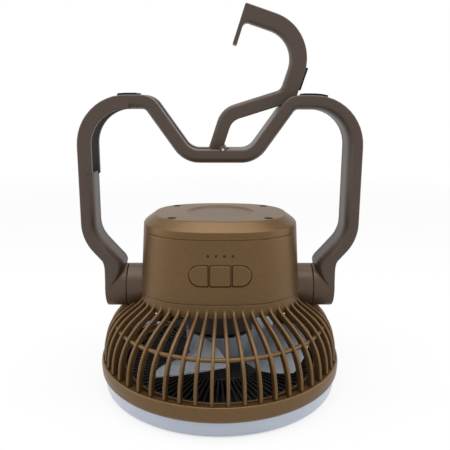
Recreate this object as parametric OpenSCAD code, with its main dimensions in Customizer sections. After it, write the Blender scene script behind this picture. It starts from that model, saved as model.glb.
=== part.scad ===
// Portable camping fan: a caged fan head with a light ring, a folding bail stand and a folding hook.
// The head rests on its light ring at z = 0 and blows downwards; +Y points to the rear.

/* [Light ring] */
// Outer radius of the milky diffuser ring
ring_r = 83; // [80:0.5:92]
// Height of the diffuser ring
ring_h = 10.8; // [9.5:0.1:14]
// Radial width of the diffuser ring
ring_w = 13; // [11:0.5:14]
// Wall of the diffuser ring
ring_wall = 1.6; // [1.2:0.1:2]
// Number of light chips
chip_count = 36; // [12:1:48]
// Thickness of the light board
board_t = 1.2; // [1:0.1:1.6]

/* [Rim] */
// Height of the rim band above the diffuser
rim_h = 10.7; // [9.5:0.1:13]
// How far the rim stands out past the diffuser
rim_bulge = 2.2; // [1.6:0.1:3]
// Wall of the rim
rim_wall = 1.5; // [1.2:0.1:2]
// Height of the air duct's rim above the bottom of its wall
duct_h = 15; // [13:0.5:17]

/* [Grille] */
// Number of slats in the outlet grille
slat_count = 90; // [48:2:96]
// Thickness of a slat
slat_t = 1.2; // [0.8:0.1:1.5]
// Height of the grille
grille_h = 4.5; // [3:0.1:5]
// Sweep of a slat from the hub to the outside, in degrees
slat_sweep = 0; // [0:1:15]
// Radius of the dish in the middle of the grille
grille_hub_r = 34; // [28:0.5:38]

/* [Cage] */
// Number of ribs
rib_count = 52; // [36:4:56]
// Thickness of a rib
rib_t = 2.2; // [1.6:0.1:2.6]
// Depth of a rib, from its outer to its inner edge
rib_depth = 4.6; // [4:0.1:6]
// Height of the ribs, from the rim to the collar
cage_h = 41.5; // [38:0.5:46]
// Height of the solid collar on top of the ribs
collar_h = 6; // [5:0.5:8]
// How far the collar's wall reaches below the tops of the ribs
collar_drop = 3.4; // [2:0.1:4.5]
// Where the hoop lies on the way from the collar's front (0) to the ribs' feet (1)
hoop_reach = 0.725; // [0.71:0.001:0.74]
// Radius of the hoop's round section
hoop_wire_r = 1.4; // [1.1:0.1:1.8]
// Thickness of the bulkhead that carries the motor
bulkhead_t = 2; // [1.6:0.1:3]

/* [Housing] */
// Width of the housing at its lower seam
body_x = 111.2; // [106:0.2:116]
// Depth of the housing at its lower seam
body_y = 83.6; // [80:0.2:88]
// Height of the housing between its seams
body_h = 43.2; // [42:0.2:50]
// How far each side leans in over the height of the housing
body_lean = 2.7; // [0:0.1:4]
// How far the front and the rear lean in
body_lean_y = 0.4; // [0:0.1:1]
// Power of the rounded plan: 2 is an ellipse, more is squarer
plan_power = 2.45; // [2.3:0.05:3]
// Wall of the housing and the cover
body_wall = 2.4; // [2:0.1:2.8]

/* [Cover] */
// Height of the upright band of the cover
cover_band_h = 5.3; // [4:0.1:7]
// Height of the sloped edge of the cover
cover_slope_h = 5.2; // [4:0.1:6]
// How far the sloped edge leans in
cover_inset = 7.8; // [6:0.1:9]
// Thickness of the flat top
cover_top_t = 2.8; // [2.2:0.1:3.4]
// Radius of the round dish in the top
dish_r = 23; // [15:0.5:24]
// Depth of the dish
dish_depth = 1.1; // [0.5:0.1:1.5]
// Distance of the cover screws from the middle, left to right
screw_x = 31.9; // [30.5:0.1:32.5]
// Distance of the cover screws from the middle, front to rear
screw_y = 22.1; // [21.9:0.1:23]
// Radius of a rubber plug
plug_r = 2.75; // [2.6:0.05:3]

/* [Buttons] */
// Height of the row of buttons
button_h = 13.7; // [10:0.1:15]
// Width of the middle button
button_mid_w = 13.2; // [11:0.1:14]
// Width of an outer button
button_end_w = 12.1; // [10:0.1:12.5]
// Gap between two buttons
button_gap = 1.3; // [1.1:0.05:1.6]
// Height of the buttons' middle above the lower seam
button_rise = 19.7; // [17:0.1:20]
// How far a button stands out of the wall
button_proud = 0.5; // [0.3:0.1:1]
// Travel of a button
button_travel = 0.5; // [0.3:0.05:0.6]
// Spacing of the indicator dots
dot_pitch = 5.3; // [4:0.1:6]
// Radius of an indicator dot
dot_r = 1; // [0.7:0.05:1.3]
// Height of the indicator dots above the lower seam
dot_rise = 33; // [31:0.1:34]

/* [Motor] */
// Radius of the motor can
motor_r = 21; // [19:0.1:21.5]
// Length of the motor, with its end cap
motor_l = 24; // [22:0.5:24.5]
// Radius of the motor shaft
shaft_r = 1.5; // [1.25:0.05:2]
// Outer radius of a motor bearing
bearing_r = 4; // [3.5:0.1:4.5]
// Width of a motor bearing
bearing_w = 3; // [2.5:0.1:3.5]

/* [Fan] */
// Number of blades
blade_count = 4; // [3:1:7]
// Radius of the blade tips
blade_r = 65; // [60:0.5:66]
// Height that a blade covers
blade_h = 18; // [16:0.5:18]
// Angle that a blade covers, seen along the shaft
blade_sweep = 55; // [30:1:60]
// Thickness of a blade
blade_t = 1.8; // [1.4:0.1:2.4]
// Radius of the blades' hub
blade_hub_r = 24.5; // [23.5:0.1:26]

/* [Battery] */
// Radius of a battery cell
cell_r = 9.15; // [8.9:0.05:9.2]
// Length of a battery cell
cell_l = 65; // [60:0.5:65.5]

/* [Hinge] */
// Height of the stand's axis above the lower seam
hinge_rise = 1; // [0:0.1:2]
// Radius of the hinge hubs and drums
hinge_r = 15; // [13:0.1:16]
// Where the fixed hub ends and the drum begins
hinge_split_x = 64.8; // [64:0.1:66]
// Width of a drum
drum_w = 14.5; // [13:0.1:16]
// Radius of the hinge bolt
bolt_r = 3; // [2.5:0.1:3.5]

/* [Stand] */
// Thickness of the stand's band, seen from the front
band_t = 9.2; // [8:0.1:10]
// Depth of the stand, front to rear
stand_d = 28; // [27:0.5:29]
// Distance of a leg's centre line from the middle
leg_x = 89.4; // [88.5:0.1:95]
// Height of the elbow above the hinge axis
elbow_rise = 37.2; // [34:0.2:42]
// Angle of the leg below the elbow, from the level
elbow_angle = 49; // [45:1:55]
// Height of the shoulders' centre line above the hinge axis
shoulder_rise = 127.2; // [120:0.2:135]
// Height of the crossbar's centre line above the hinge axis
bar_rise = 92; // [90:0.2:95]
// Half of the crossbar's length, to the corners of its centre line
valley_x = 22; // [18:0.5:26]
// Angle of the slopes from the level
slope_angle = 54.6; // [50:0.2:60]
// Wall of the stand's hollow shells
shell_wall = 2.2; // [1.8:0.1:2.6]
// Thickness of the walls beside the stow window
window_wall = 3.5; // [2.5:0.1:5]
// Height of the window's lower end above the hinge axis
window_rise = 80.6; // [79:0.1:80.8]
// Length of the pads of the right shoulder and the hook
pad_l = 15; // [10:0.5:15.5]
// Length of the left shoulder's pad
left_pad_l = 12; // [8:0.5:13]
// Thickness of a rubber pad
pad_t = 1.2; // [0.8:0.1:1.6]

/* [Hook] */
// Width of the hook, front to rear
hook_w = 10; // [8:0.1:10]
// Thickness of the hook's arm
hook_arm_t = 9.2; // [8:0.1:9.6]
// Thickness of the hook's bow
hook_bow_t = 11; // [9:0.1:12]
// Thickness of the hook's lip
lip_t = 2.8; // [2.2:0.1:3.6]
// Length of the hook's lip past the bow
lip_l = 15.5; // [10:0.5:18]
// How far the stowed bow lies inside the leg's outer face
bow_inset = 3.1; // [2:0.1:4]
// Swing of the hook from its raised to its stowed place
hook_swing = 108; // [100:1:112]
// How far the hook's arm reaches past its pin
hook_tail = 3.8; // [3.4:0.1:4.4]
// Radius of the hook's pin
pin_r = 1.5; // [1.2:0.05:1.8]
// Distance of the hook's pin from the middle
pin_x = 1.7; // [0:0.1:3]

/* [Fits] */
// Radial play of a turning fit
run_play = 0.05; // [0.02:0.01:0.09]
// Gap between parts that are fitted loosely
gap = 0.2; // [0.1:0.05:0.3]
// Gap between parts that move past each other
move_gap = 0.4; // [0.3:0.05:0.5]

/* [Hidden] */
$fn = 96;
arc_step = 7;
eps = 0.01;

// Heights of the head
rim_z = ring_h;
rim_top = rim_z + rim_h;
collar_z = rim_top + cage_h;
body_z = collar_z + collar_h;
cover_z = body_z + body_h;
slope_z = cover_z + cover_band_h;
top_z = slope_z + cover_slope_h;
hinge_z = body_z + hinge_rise;
bulkhead_z = collar_z + 1;
bulkhead_top = bulkhead_z + bulkhead_t;

// Light ring and rim
duct_r = ring_r - ring_w - 2;
duct_wall = 1.8;
duct_z = 1;
shelf_t = 1.8;
rim_in_r = ring_r + rim_bulge - rim_wall;
lip_z = 7.8;
lip_ledge = 1.2;
chip = [3.5, 2.8, 0.7];
chip_r = ring_r - ring_w / 2;

// Cage
rib_turn = 360 / rib_count;
skirt_r = rim_in_r - gap;
rib_foot_r = skirt_r - 0.2;
base_w = 5;
base_top = rim_top - 0.7;
rib_warp = 4.3;
hoop_r = body_y / 2 + hoop_reach * (rib_foot_r - body_y / 2);
hoop_z = rim_top + 0.61 * cage_h;
motor_z = bulkhead_z - motor_l;

// Housing and cover
top_x = body_x / 2 - body_lean;
top_y = body_y / 2 - body_lean_y;
post_r = 3.2;
post_pilot_r = 1.15;
screw_r = 1.1;
head_r = 2.4;
head_h = 1.8;
head_z = top_z - 4.4;
web_y = front_at(screw_x, cover_z) - body_wall / 2;

// Buttons and boards
button_z = body_z + button_rise;
dot_z = body_z + dot_rise;
hole_play = 0.2;
flange_grow = 0.5;
flange_t = 1;
control_y = -31.6;
control_t = 1.6;
control_x = 27.5;
boss_x = 24;
boss_dz = 13;
boss_r = 2.6;
board_z = button_z + 2.3;
switch_body = [6, 3, 6];
plunger_l = 0.6;
stem_end_y = control_y - switch_body.y - plunger_l - button_travel - 0.05;
led_t = 0.6;
power_z = body_z + 11;
power_y = 26;
power_w = 28;
usb = [8.9, 9, 3.2];

// Battery
cell_pitch = 2 * cell_r + 0.6;
holder_t = 1.6;
cell_z = bulkhead_top + holder_t + 0.1 + cell_r;
holder_y = 2 * cell_r + 0.1;

// Motor and fan
blade_turn = -137;
can_wall = 1.2;
cap_t = 2.5;
hub_top = motor_z - 1.7;
hub_z = hub_top - 17.8;
hub_wall = 2;
screw_ring_r = 12;

// Hinge
drum_out_x = hinge_split_x + 0.2 + drum_w;
washer_t = 0.4;
drum_in_x = hinge_split_x + washer_t - 0.2;
hub_in_x = 49.4;
flange_x = 51.2;
hub_flange_r = hinge_r + 1.4;
spring_t = 0.8;
head_l = 2.2;
cap_r = 11;
cap_l = 1;
spring_x = drum_out_x - cap_l - 0.3 - head_l - spring_t;
nut_l = 4.4;
nut_r = bolt_r + 2.5;
bolt_head_r = bolt_r + 2.5;

// Stand: heights of its centre line, and the corners of its left half
bar_z = hinge_z + bar_rise;
shoulder_z = hinge_z + shoulder_rise;
elbow_z = hinge_z + elbow_rise;
drum_x = (drum_in_x + drum_out_x) / 2;
ankle_z = elbow_z - (leg_x - drum_x) * tan(elbow_angle);
peak_x = valley_x + (shoulder_z - bar_z) / tan(slope_angle);
shoulder_r = 28.5;
stand_path = [[drum_x, hinge_z, 0], [drum_x, ankle_z, 6.5], [leg_x, elbow_z, 25.5],
              [leg_x, shoulder_z, shoulder_r], [peak_x, shoulder_z, 8.5], [valley_x, bar_z, 15.5]];
window_z = hinge_z + window_rise;
window_x = 59;
pad_x = 62;
left_pad_x = 60.5;
hook_pad_x = 58;
bar_top = bar_z + band_t / 2;
shoulder_top = shoulder_z + band_t / 2;
leg_out_x = leg_x + band_t / 2;

// Hook, drawn where it is stowed and turned up about its pin
pin_z = bar_top;
knuckle_r = pin_r + 1.1;
ear_r = pin_r + 1.1;
slot_y = hook_w / 2 + move_gap;
seam_y = slot_y;
slot_end_x = pin_x + hook_tail + move_gap;
bow_x = -(leg_out_x - bow_inset);
bow_r = 30;
hook_top = shoulder_top + 0.4;
lip_z0 = window_z + 0.9;
arm_low = pin_z - hook_arm_t;

// ---- Helpers ----

function unit(v) = v / norm(v);
function flat(v) = [v[0], v[1]];
function flip(v) = [-v[0], v[1], v[2]];
function reversed(list) = [for (i = [len(list) - 1 : -1 : 0]) list[i]];

// Points of the round corner of radius r at c, between its neighbours p and q
function corner(p, c, q, r) =
    let (a = unit(p - c), b = unit(q - c),
         half = acos(a * b) / 2,
         o = c + unit(a + b) * r / sin(half),
         s = c + a * r / tan(half) - o,
         e = c + b * r / tan(half) - o,
         start = atan2(s.y, s.x),
         turn = (atan2(e.y, e.x) - start + 540) % 360 - 180,
         n = max(2, ceil(abs(turn) / arc_step)))
    [for (i = [0 : n]) o + r * [cos(start + turn * i / n), sin(start + turn * i / n)]];

// A closed outline from vertices [x, y, corner radius]
function rounded(v) =
    [for (i = [0 : len(v) - 1])
        each v[i][2] > 0
            ? corner(flat(v[(i + len(v) - 1) % len(v)]), flat(v[i]), flat(v[(i + 1) % len(v)]), v[i][2])
            : [flat(v[i])]];

// The vertex c, moved to the side by d; the side is to the right of the way from p to q
function moved(p, c, q, d) =
    let (d1 = unit(flat(c) - flat(p)), d2 = unit(flat(q) - flat(c)),
         n1 = [d1.y, -d1.x], n2 = [d2.y, -d2.x],
         m = unit(n1 + n2),
         turn = sign(cross(d1, d2)),
         at = flat(c) + m * d / (m * n1))
    [at.x, at.y, c[2] > 0 ? max(c[2] + turn * d, 0.2) : 0];

// A counter-clockwise outline's vertices, grown outwards by d
function grown(v, d) =
    [for (i = [0 : len(v) - 1]) moved(v[(i + len(v) - 1) % len(v)], v[i], v[(i + 1) % len(v)], d)];

// One side of an open path at distance d to its right
function side(path, d) =
    let (last = len(path) - 1)
    [for (i = [0 : last])
        i == 0 ? moved(2 * path[0] - path[1], path[0], path[1], d)
        : i == last ? moved(path[last - 1], path[last], 2 * path[last] - path[last - 1], d)
        : moved(path[i - 1], path[i], path[i + 1], d)];

// A band of thickness t along an open path
function band(path, t) = rounded(concat(side(path, t / 2), reversed(side(path, -t / 2))));

// Rounded plan of the housing, with half sizes a and b
function plan(a, b, n = 96) =
    [for (i = [0 : n - 1])
        let (c = cos(360 * i / n), s = sin(360 * i / n))
        [a * sign(c) * pow(abs(c), 2 / plan_power), b * sign(s) * pow(abs(s), 2 / plan_power)]];

// Distance of the plan's outline from the middle, in the direction of angle t from the front
function plan_reach(a, b, t) =
    pow(pow(abs(sin(t)) / a, plan_power) + pow(abs(cos(t)) / b, plan_power), -1 / plan_power);

// Depth of the housing's front face at x and at height z
function front_at(x, z) =
    let (k = (z - body_z) / body_h, a = body_x / 2 - k * body_lean, b = body_y / 2 - k * body_lean_y)
    b * pow(1 - pow(abs(x) / a, plan_power), 1 / plan_power);

// An outline in the XZ plane, from depth y0 to depth y1
module plate(y0, y1) translate([0, y1, 0]) rotate([90, 0, 0]) linear_extrude(y1 - y0) children();

// A pin along Y or X
module pin_y(y0, y1, r) translate([0, y1, 0]) rotate([90, 0, 0]) cylinder(h = y1 - y0, r = r);
module pin_x(x0, x1, r) translate([x0, 0, 0]) rotate([0, 90, 0]) cylinder(h = x1 - x0, r = r);

module tube(z0, z1, r1, r0) translate([0, 0, z0]) difference() {
    cylinder(h = z1 - z0, r = r1);
    translate([0, 0, -1]) cylinder(h = z1 - z0 + 2, r = r0);
}

module both_sides() {
    children();
    mirror([1, 0, 0]) children();
}

module four_corners(x, y) for (sx = [-1, 1], sy = [-1, 1]) translate([sx * x, sy * y, 0]) children();

// A solid between two plans of the housing
module loft(z0, z1, a0, b0, a1, b1)
    translate([0, 0, z0]) linear_extrude(z1 - z0, scale = [a1 / a0, b1 / b0], slices = 1)
        polygon(plan(a0, b0));

// ---- Light ring and rim ----

module light_diffuser() color([0.88, 0.91, 0.97])
    rotate_extrude() polygon(rounded([
        [ring_r - ring_w, 0, 1], [ring_r, 0, 3], [ring_r, ring_h, 0], [ring_r - ring_wall, ring_h, 0],
        [ring_r - ring_wall, ring_wall, 1.4], [ring_r - ring_w + ring_wall, ring_wall, 0.5],
        [ring_r - ring_w + ring_wall, ring_h, 0], [ring_r - ring_w, ring_h, 0]]));

module led_board() color("white")
    tube(rim_z - board_t, rim_z, ring_r - ring_wall - 0.4, ring_r - ring_w + ring_wall + 0.4);

module led_chips() color([1, 0.9, 0.5])
    for (i = [0 : chip_count - 1])
        rotate([0, 0, 360 * i / chip_count])
            translate([chip_r - chip.x / 2, -chip.y / 2, rim_z - board_t - chip.z]) cube(chip);

module rim_ring() color([0.47, 0.36, 0.23])
    rotate_extrude() polygon(rounded([
        [duct_r, duct_z, 0], [duct_r + duct_wall, duct_z, 0], [duct_r + duct_wall, rim_z, 0],
        [ring_r + 0.4, rim_z, 0.6], [ring_r + rim_bulge, rim_z + 3.6, 3], [ring_r + rim_bulge - 0.5, rim_top, 0.7],
        [rim_in_r, rim_top, 0], [rim_in_r, rim_z + shelf_t, 0], [duct_r + duct_wall, rim_z + shelf_t, 0],
        [duct_r + duct_wall, duct_z + duct_h, 0.6], [duct_r, duct_z + duct_h, 0.6],
        [duct_r, lip_z + lip_ledge, 0], [duct_r - 1.6, lip_z + lip_ledge, 0], [duct_r - 1.6, lip_z, 0],
        [duct_r, lip_z - 1.6, 0]]));

// One slat, bent along an arc from the hub to the outer ring
module slat() {
    reach = duct_r - gap - 1;
    steps = slat_sweep > 0 ? 6 : 1;
    bend = [for (i = [0 : steps])
        let (f = i / steps, r = grille_hub_r - 1 + f * (reach - grille_hub_r + 1), t = slat_sweep * f * f)
        r * [cos(t), sin(t)]];
    normals = [for (i = [0 : steps])
        let (d = unit(bend[min(i + 1, steps)] - bend[max(i - 1, 0)])) [-d.y, d.x]];
    translate([0, 0, 0.4]) linear_extrude(grille_h - 1.2) polygon(concat(
        [for (i = [0 : steps]) bend[i] + normals[i] * slat_t / 2],
        [for (i = [steps : -1 : 0]) bend[i] - normals[i] * slat_t / 2]));
}

module front_grille() color([0.12, 0.12, 0.12]) {
    floor_z = lip_z + lip_ledge;
    tube(floor_z, floor_z + grille_h, duct_r - gap, duct_r - gap - 2);
    translate([0, 0, floor_z]) difference() {
        cylinder(h = grille_h - 0.4, r = grille_hub_r);
        translate([0, 0, -1]) cylinder(h = grille_h - 1, r = grille_hub_r - 1.6);
    }
    translate([0, 0, floor_z]) for (i = [0 : slat_count - 1]) rotate([0, 0, 360 * i / slat_count]) slat();
}

// ---- Cage ----

// Outer edge of a rib: across its span s from the collar (0) to the rim (1), and its height
function rib_edge(t) =
    let (u = 1 - t)
    [3 * u * t * t + t * t * t,
     u * u * u * (collar_z + 3) + 3 * u * u * t * (collar_z - 4.5) + 3 * u * t * t * (collar_z - 5.5)
         + t * t * t * rim_top];

// Outline of a rib whose foot lies a given span out from the collar
function rib_outline(span) =
    let (steps = 12,
         out = [for (i = [0 : steps]) let (p = rib_edge(i / steps)) [p.x * span, p.y]],
         way = [for (i = [0 : steps]) unit(out[min(i + 1, steps)] - out[max(i - 1, 0)])])
    concat([[-1.5, collar_z + 3]], out, [[span, base_top - 1], [span - rib_depth, base_top - 1]],
           [for (i = [steps - 1 : -1 : 3]) out[i] + rib_depth * [way[i].y, -way[i].x]],
           [[-1.5, collar_z - 3.5]]);

// The rib at angle t from the front, which stands upright between the collar and the rim
module rib(t) {
    top_t = t + rib_warp * sin(2 * t);
    start = plan_reach(body_x / 2, body_y / 2, top_t) * [sin(top_t), -cos(top_t)];
    foot = rib_foot_r * [sin(t), -cos(t)];
    way = foot - start;
    translate([start.x, start.y, 0]) rotate([0, 0, atan2(way.y, way.x)])
        plate(-rib_t / 2, rib_t / 2) polygon(rib_outline(norm(way)));
}

// Half-round seat under each hinge hub
module hub_seat() intersection() {
    translate([0, 0, hinge_z]) pin_x(hub_in_x - 1.5, body_x / 2 - 1.5 * body_wall, hinge_r + 3.2);
    translate([0, -body_y, hinge_z - 2 * hinge_r]) cube([body_x, 2 * body_y, body_z - hinge_z + 2 * hinge_r]);
}

// Ring that the ribs stand on, with the skirt that sits in the rim
module base_ring() rotate_extrude() polygon([
    [skirt_r, rim_z + shelf_t], [skirt_r, base_top], [skirt_r - base_w, base_top],
    [skirt_r - base_w, base_top - 2], [skirt_r - 1.6, base_top - 2], [skirt_r - 1.6, rim_z + shelf_t]]);

module rear_cage() color([0.47, 0.36, 0.23]) difference() {
    union() {
        difference() {
            translate([0, 0, collar_z - collar_drop]) linear_extrude(collar_h + collar_drop)
                polygon(plan(body_x / 2, body_y / 2));
            translate([0, 0, collar_z - collar_drop - 1]) linear_extrude(collar_h + collar_drop + 2)
                polygon(plan(body_x / 2 - body_wall, body_y / 2 - body_wall));
        }
        translate([0, 0, bulkhead_z]) linear_extrude(bulkhead_t)
            polygon(plan(body_x / 2 - body_wall / 2, body_y / 2 - body_wall / 2));
        tube(hub_z + blade_h + 1.4, bulkhead_z + eps, motor_r + 2.4, motor_r + gap);
        for (i = [0 : rib_count - 1]) rib((i + 0.5) * rib_turn);
        translate([0, 0, hoop_z]) rotate_extrude() translate([hoop_r, 0]) circle(r = hoop_wire_r, $fn = 24);
        base_ring();
        both_sides() hub_seat();
    }
    both_sides() translate([0, 0, hinge_z]) {
        pin_x(hub_in_x - 3, leg_x, hinge_r + gap);
        pin_x(hub_in_x - 0.3, flange_x + 0.3, hub_flange_r + gap);
        pin_x(hub_in_x - nut_l - 1.5, hub_in_x, nut_r + 0.7);
    }
    translate([0, 0, bulkhead_z - 1]) cylinder(h = bulkhead_t + 2, r = bearing_r + 1.6);
    for (i = [0 : 2]) rotate([0, 0, 120 * i + 30]) translate([screw_ring_r, 0, bulkhead_z - 1])
        cylinder(h = bulkhead_t + 2, r = 1.4);
}

// ---- Housing ----

// Outline of a button (-1 left, 0 middle, 1 right), grown by g
module button_outline(place, g) {
    near_x = button_mid_w / 2 + button_gap - g;
    round_x = button_mid_w / 2 + button_gap + button_end_w - button_h / 2;
    h = button_h + 2 * g;
    if (place == 0)
        square([button_mid_w + 2 * g, h], center = true);
    else rotate(place == 1 ? 0 : 180) intersection() {
        union() {
            translate([round_x, 0]) circle(r = h / 2);
            translate([near_x, -h / 2]) square([round_x - near_x, h]);
        }
        translate([near_x, -h / 2]) square([button_end_w + button_h, h]);
    }
}

// Place of the indicator dots along the front
function dot_x(i) = (i - 1.5) * dot_pitch;

module housing_shell() color([0.45, 0.34, 0.21]) difference() {
    union() {
        difference() {
            loft(body_z, cover_z, body_x / 2, body_y / 2, top_x, top_y);
            translate([0, 0, -eps]) loft(body_z, cover_z + 2 * eps, body_x / 2 - body_wall, body_y / 2 - body_wall,
                                         top_x - body_wall, top_y - body_wall);
        }
        four_corners(screw_x, screw_y) translate([0, 0, body_z]) cylinder(h = body_h, r = post_r);
        for (sy = [-1, 1]) both_sides()
            translate([screw_x - 0.8, sy > 0 ? screw_y : -web_y, body_z + 2]) cube([1.6, web_y - screw_y, body_h - 2]);
        for (sx = [-1, 1], dz = [-boss_dz, boss_dz]) translate([sx * boss_x, 0, board_z + dz])
            pin_y(-front_at(boss_x, board_z + dz) + 1, control_y, boss_r);
        translate([-power_w / 2 - 2, power_y + 8, power_z - 3])
            cube([power_w + 4, front_at(power_w / 2 + 2, power_z) - body_wall / 2 - power_y - 8, 3]);
    }
    both_sides() translate([0, 0, hinge_z]) {
        pin_x(hub_in_x, body_x, hinge_r + gap);
        pin_x(hub_in_x, flange_x + 0.3, hub_flange_r + gap);
    }
    translate([0, 0, button_z]) for (place = [-1 : 1])
        plate(-body_y, -30) button_outline(place, hole_play);
    for (i = [0 : 3]) translate([dot_x(i), 0, dot_z]) pin_y(-body_y, -34, dot_r + run_play);
    four_corners(screw_x, screw_y) translate([0, 0, cover_z - 12]) cylinder(h = 13, r = post_pilot_r);
    for (sx = [-1, 1], dz = [-boss_dz, boss_dz]) translate([sx * boss_x, 0, board_z + dz])
        pin_y(control_y - 5, control_y + 1, 1.05);
    translate([0, 0, power_z + control_t + usb.z / 2]) plate(30, body_y) usb_outline(0.3);
}

module cover_outer() {
    a = top_x - body_lean * cover_band_h / body_h;
    b = top_y - body_lean_y * cover_band_h / body_h;
    loft(cover_z, slope_z, top_x, top_y, a, b);
    loft(slope_z - eps, top_z, a, b, a - cover_inset, b - cover_inset);
}

module top_cover() color([0.5, 0.4, 0.28]) difference() {
    union() {
        difference() {
            cover_outer();
            translate([0, 0, -eps]) loft(cover_z, slope_z, top_x - body_wall, top_y - body_wall,
                                         top_x - body_wall - 0.3, top_y - body_wall - 0.3);
            loft(slope_z - 2 * eps, top_z - cover_top_t, top_x - body_wall - 0.3, top_y - body_wall - 0.3,
                 top_x - body_wall - 4, top_y - body_wall - 4);
        }
        four_corners(screw_x, screw_y) translate([0, 0, cover_z]) cylinder(h = top_z - 1 - cover_z, r = 3.8);
    }
    translate([0, 0, top_z]) rotate_extrude()
        polygon([[0, 1], [dish_r + 1.2, 1], [dish_r, 0], [dish_r - 1.6, -dish_depth], [0, -dish_depth]]);
    four_corners(screw_x, screw_y) {
        translate([0, 0, cover_z - 1]) cylinder(h = top_z, r = 1.5);
        translate([0, 0, head_z]) cylinder(h = top_z, r = plug_r + 0.1);
    }
}

module cover_screws() color("silver") four_corners(screw_x, screw_y) {
    translate([0, 0, head_z]) cylinder(h = head_h, r = head_r);
    translate([0, 0, cover_z - 8]) cylinder(h = head_z - cover_z + 8 + eps, r = screw_r);
}

module cover_plugs() color([0.06, 0.06, 0.06]) four_corners(screw_x, screw_y)
    translate([0, 0, head_z + head_h]) cylinder(h = top_z + 0.2 - head_z - head_h, r = plug_r);

// ---- Buttons and electronics ----

module button(place) color([0.47, 0.36, 0.22]) {
    middle = place * ((button_mid_w + button_end_w) / 2 + button_gap);
    far_x = abs(middle) + button_end_w / 2 + flange_grow;
    flange_y = -(front_at(place == 0 ? button_mid_w / 2 + flange_grow : far_x, button_z) - body_wall) + 0.3;
    intersection() {
        translate([0, 0, button_z]) plate(-body_y, flange_y + eps) button_outline(place, 0);
        loft(body_z, cover_z, body_x / 2 + button_proud, body_y / 2 + button_proud,
             top_x + button_proud, top_y + button_proud);
    }
    translate([0, 0, button_z]) {
        plate(flange_y, flange_y + flange_t) button_outline(place, flange_grow);
        translate([middle, 0, 0]) pin_y(flange_y, stem_end_y, 1.5);
    }
}

module button_left() button(-1);
module button_center() button(0);
module button_right() button(1);

module indicator_lenses() color([0.1, 0.1, 0.1])
    for (i = [0 : 3]) translate([dot_x(i), 0, dot_z])
        pin_y(-front_at(dot_x(i), dot_z) - 0.05, control_y - led_t - 0.1, dot_r - 0.02);

module indicator_leds() color("white")
    for (i = [0 : 3]) translate([dot_x(i) - 0.8, control_y - led_t, dot_z - 0.4]) cube([1.6, led_t, 0.8]);

module control_board() color([0.1, 0.35, 0.2]) difference() {
    translate([-control_x, control_y, board_z - boss_dz - 4]) cube([2 * control_x, control_t, 2 * boss_dz + 8]);
    for (sx = [-1, 1], dz = [-boss_dz, boss_dz]) translate([sx * boss_x, 0, board_z + dz])
        pin_y(control_y - 1, control_y + control_t + 1, 1.1);
}

module board_screws() color("silver")
    for (sx = [-1, 1], dz = [-boss_dz, boss_dz]) translate([sx * boss_x, 0, board_z + dz]) {
        pin_y(control_y - 4, control_y + control_t + eps, 1);
        pin_y(control_y + control_t, control_y + control_t + 1.4, 2);
    }

module tact_switches() color([0.15, 0.15, 0.16])
    for (place = [-1 : 1]) translate([place * ((button_mid_w + button_end_w) / 2 + button_gap), 0, button_z]) {
        translate([-switch_body.x / 2, control_y - switch_body.y, -switch_body.z / 2]) cube(switch_body);
        pin_y(control_y - switch_body.y - plunger_l, control_y - switch_body.y + eps, 1.7);
    }

module battery_cells() color([0.25, 0.45, 0.7])
    for (sy = [-0.5, 0.5], layer = [0, 1]) translate([0, sy * cell_pitch, cell_z + layer * cell_pitch])
        pin_x(-cell_l / 2, cell_l / 2, cell_r);

module battery_holder() color([0.15, 0.15, 0.15]) difference() {
    end_x = cell_l / 2 + 0.2;
    union() {
        translate([-end_x - 2, -holder_y, bulkhead_top]) cube([2 * end_x + 4, 2 * holder_y, holder_t]);
        both_sides() translate([end_x, -holder_y, bulkhead_top]) cube([2, 2 * holder_y, cell_pitch + cell_r + 4]);
    }
    translate([0, 0, bulkhead_top - 1]) cylinder(h = holder_t + 2, r = screw_ring_r + 4.5);
}

module power_board() color([0.1, 0.35, 0.2])
    translate([-power_w / 2, power_y, power_z])
        cube([power_w, front_at(power_w / 2, power_z) - body_wall - 0.3 - power_y, control_t]);

// Rounded mouth of the charging socket, grown by g
module usb_outline(g) {
    r = usb.z / 2 + g;
    square([usb.x - usb.z, 2 * r], center = true);
    for (sx = [-1, 1]) translate([sx * (usb.x - usb.z) / 2, 0]) circle(r = r);
}

module usb_c_port() color("silver") {
    mouth = front_at(usb.x / 2, power_z) - 0.4;
    translate([0, 0, power_z + control_t + usb.z / 2]) {
        difference() {
            plate(mouth - usb.y, mouth) usb_outline(0);
            plate(mouth - usb.y + 1.5, mouth + 1) usb_outline(-0.35);
        }
        plate(mouth - usb.y + 1, mouth - 1) square([6.4, 0.7], center = true);
    }
}

// ---- Motor and fan ----

module motor_can() color([0.08, 0.08, 0.08]) difference() {
    rotate_extrude() polygon([
        [motor_r, motor_z + cap_t], [motor_r, bulkhead_z], [0, bulkhead_z],
        [0, bulkhead_z - can_wall], [bearing_r + gap / 10, bulkhead_z - can_wall],
        [bearing_r + gap / 10, bulkhead_z - can_wall - bearing_w], [bearing_r + 1.4, bulkhead_z - can_wall - bearing_w],
        [bearing_r + 1.4, bulkhead_z - can_wall], [motor_r - can_wall, bulkhead_z - can_wall],
        [motor_r - can_wall, motor_z + cap_t]]);
    for (i = [0 : 2]) rotate([0, 0, 120 * i + 30]) translate([screw_ring_r, 0, bulkhead_z - can_wall - 1])
        cylinder(h = can_wall + 2, r = 1.3);
}

module motor_end_cap() color([0.1, 0.1, 0.1]) rotate_extrude() polygon([
    [shaft_r + 0.5, motor_z], [motor_r, motor_z], [motor_r, motor_z + cap_t],
    [bearing_r + 1.4, motor_z + cap_t], [bearing_r + 1.4, motor_z + 1 + bearing_w],
    [bearing_r + gap / 10, motor_z + 1 + bearing_w], [bearing_r + gap / 10, motor_z + 1],
    [shaft_r + 0.5, motor_z + 1]]);

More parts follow.
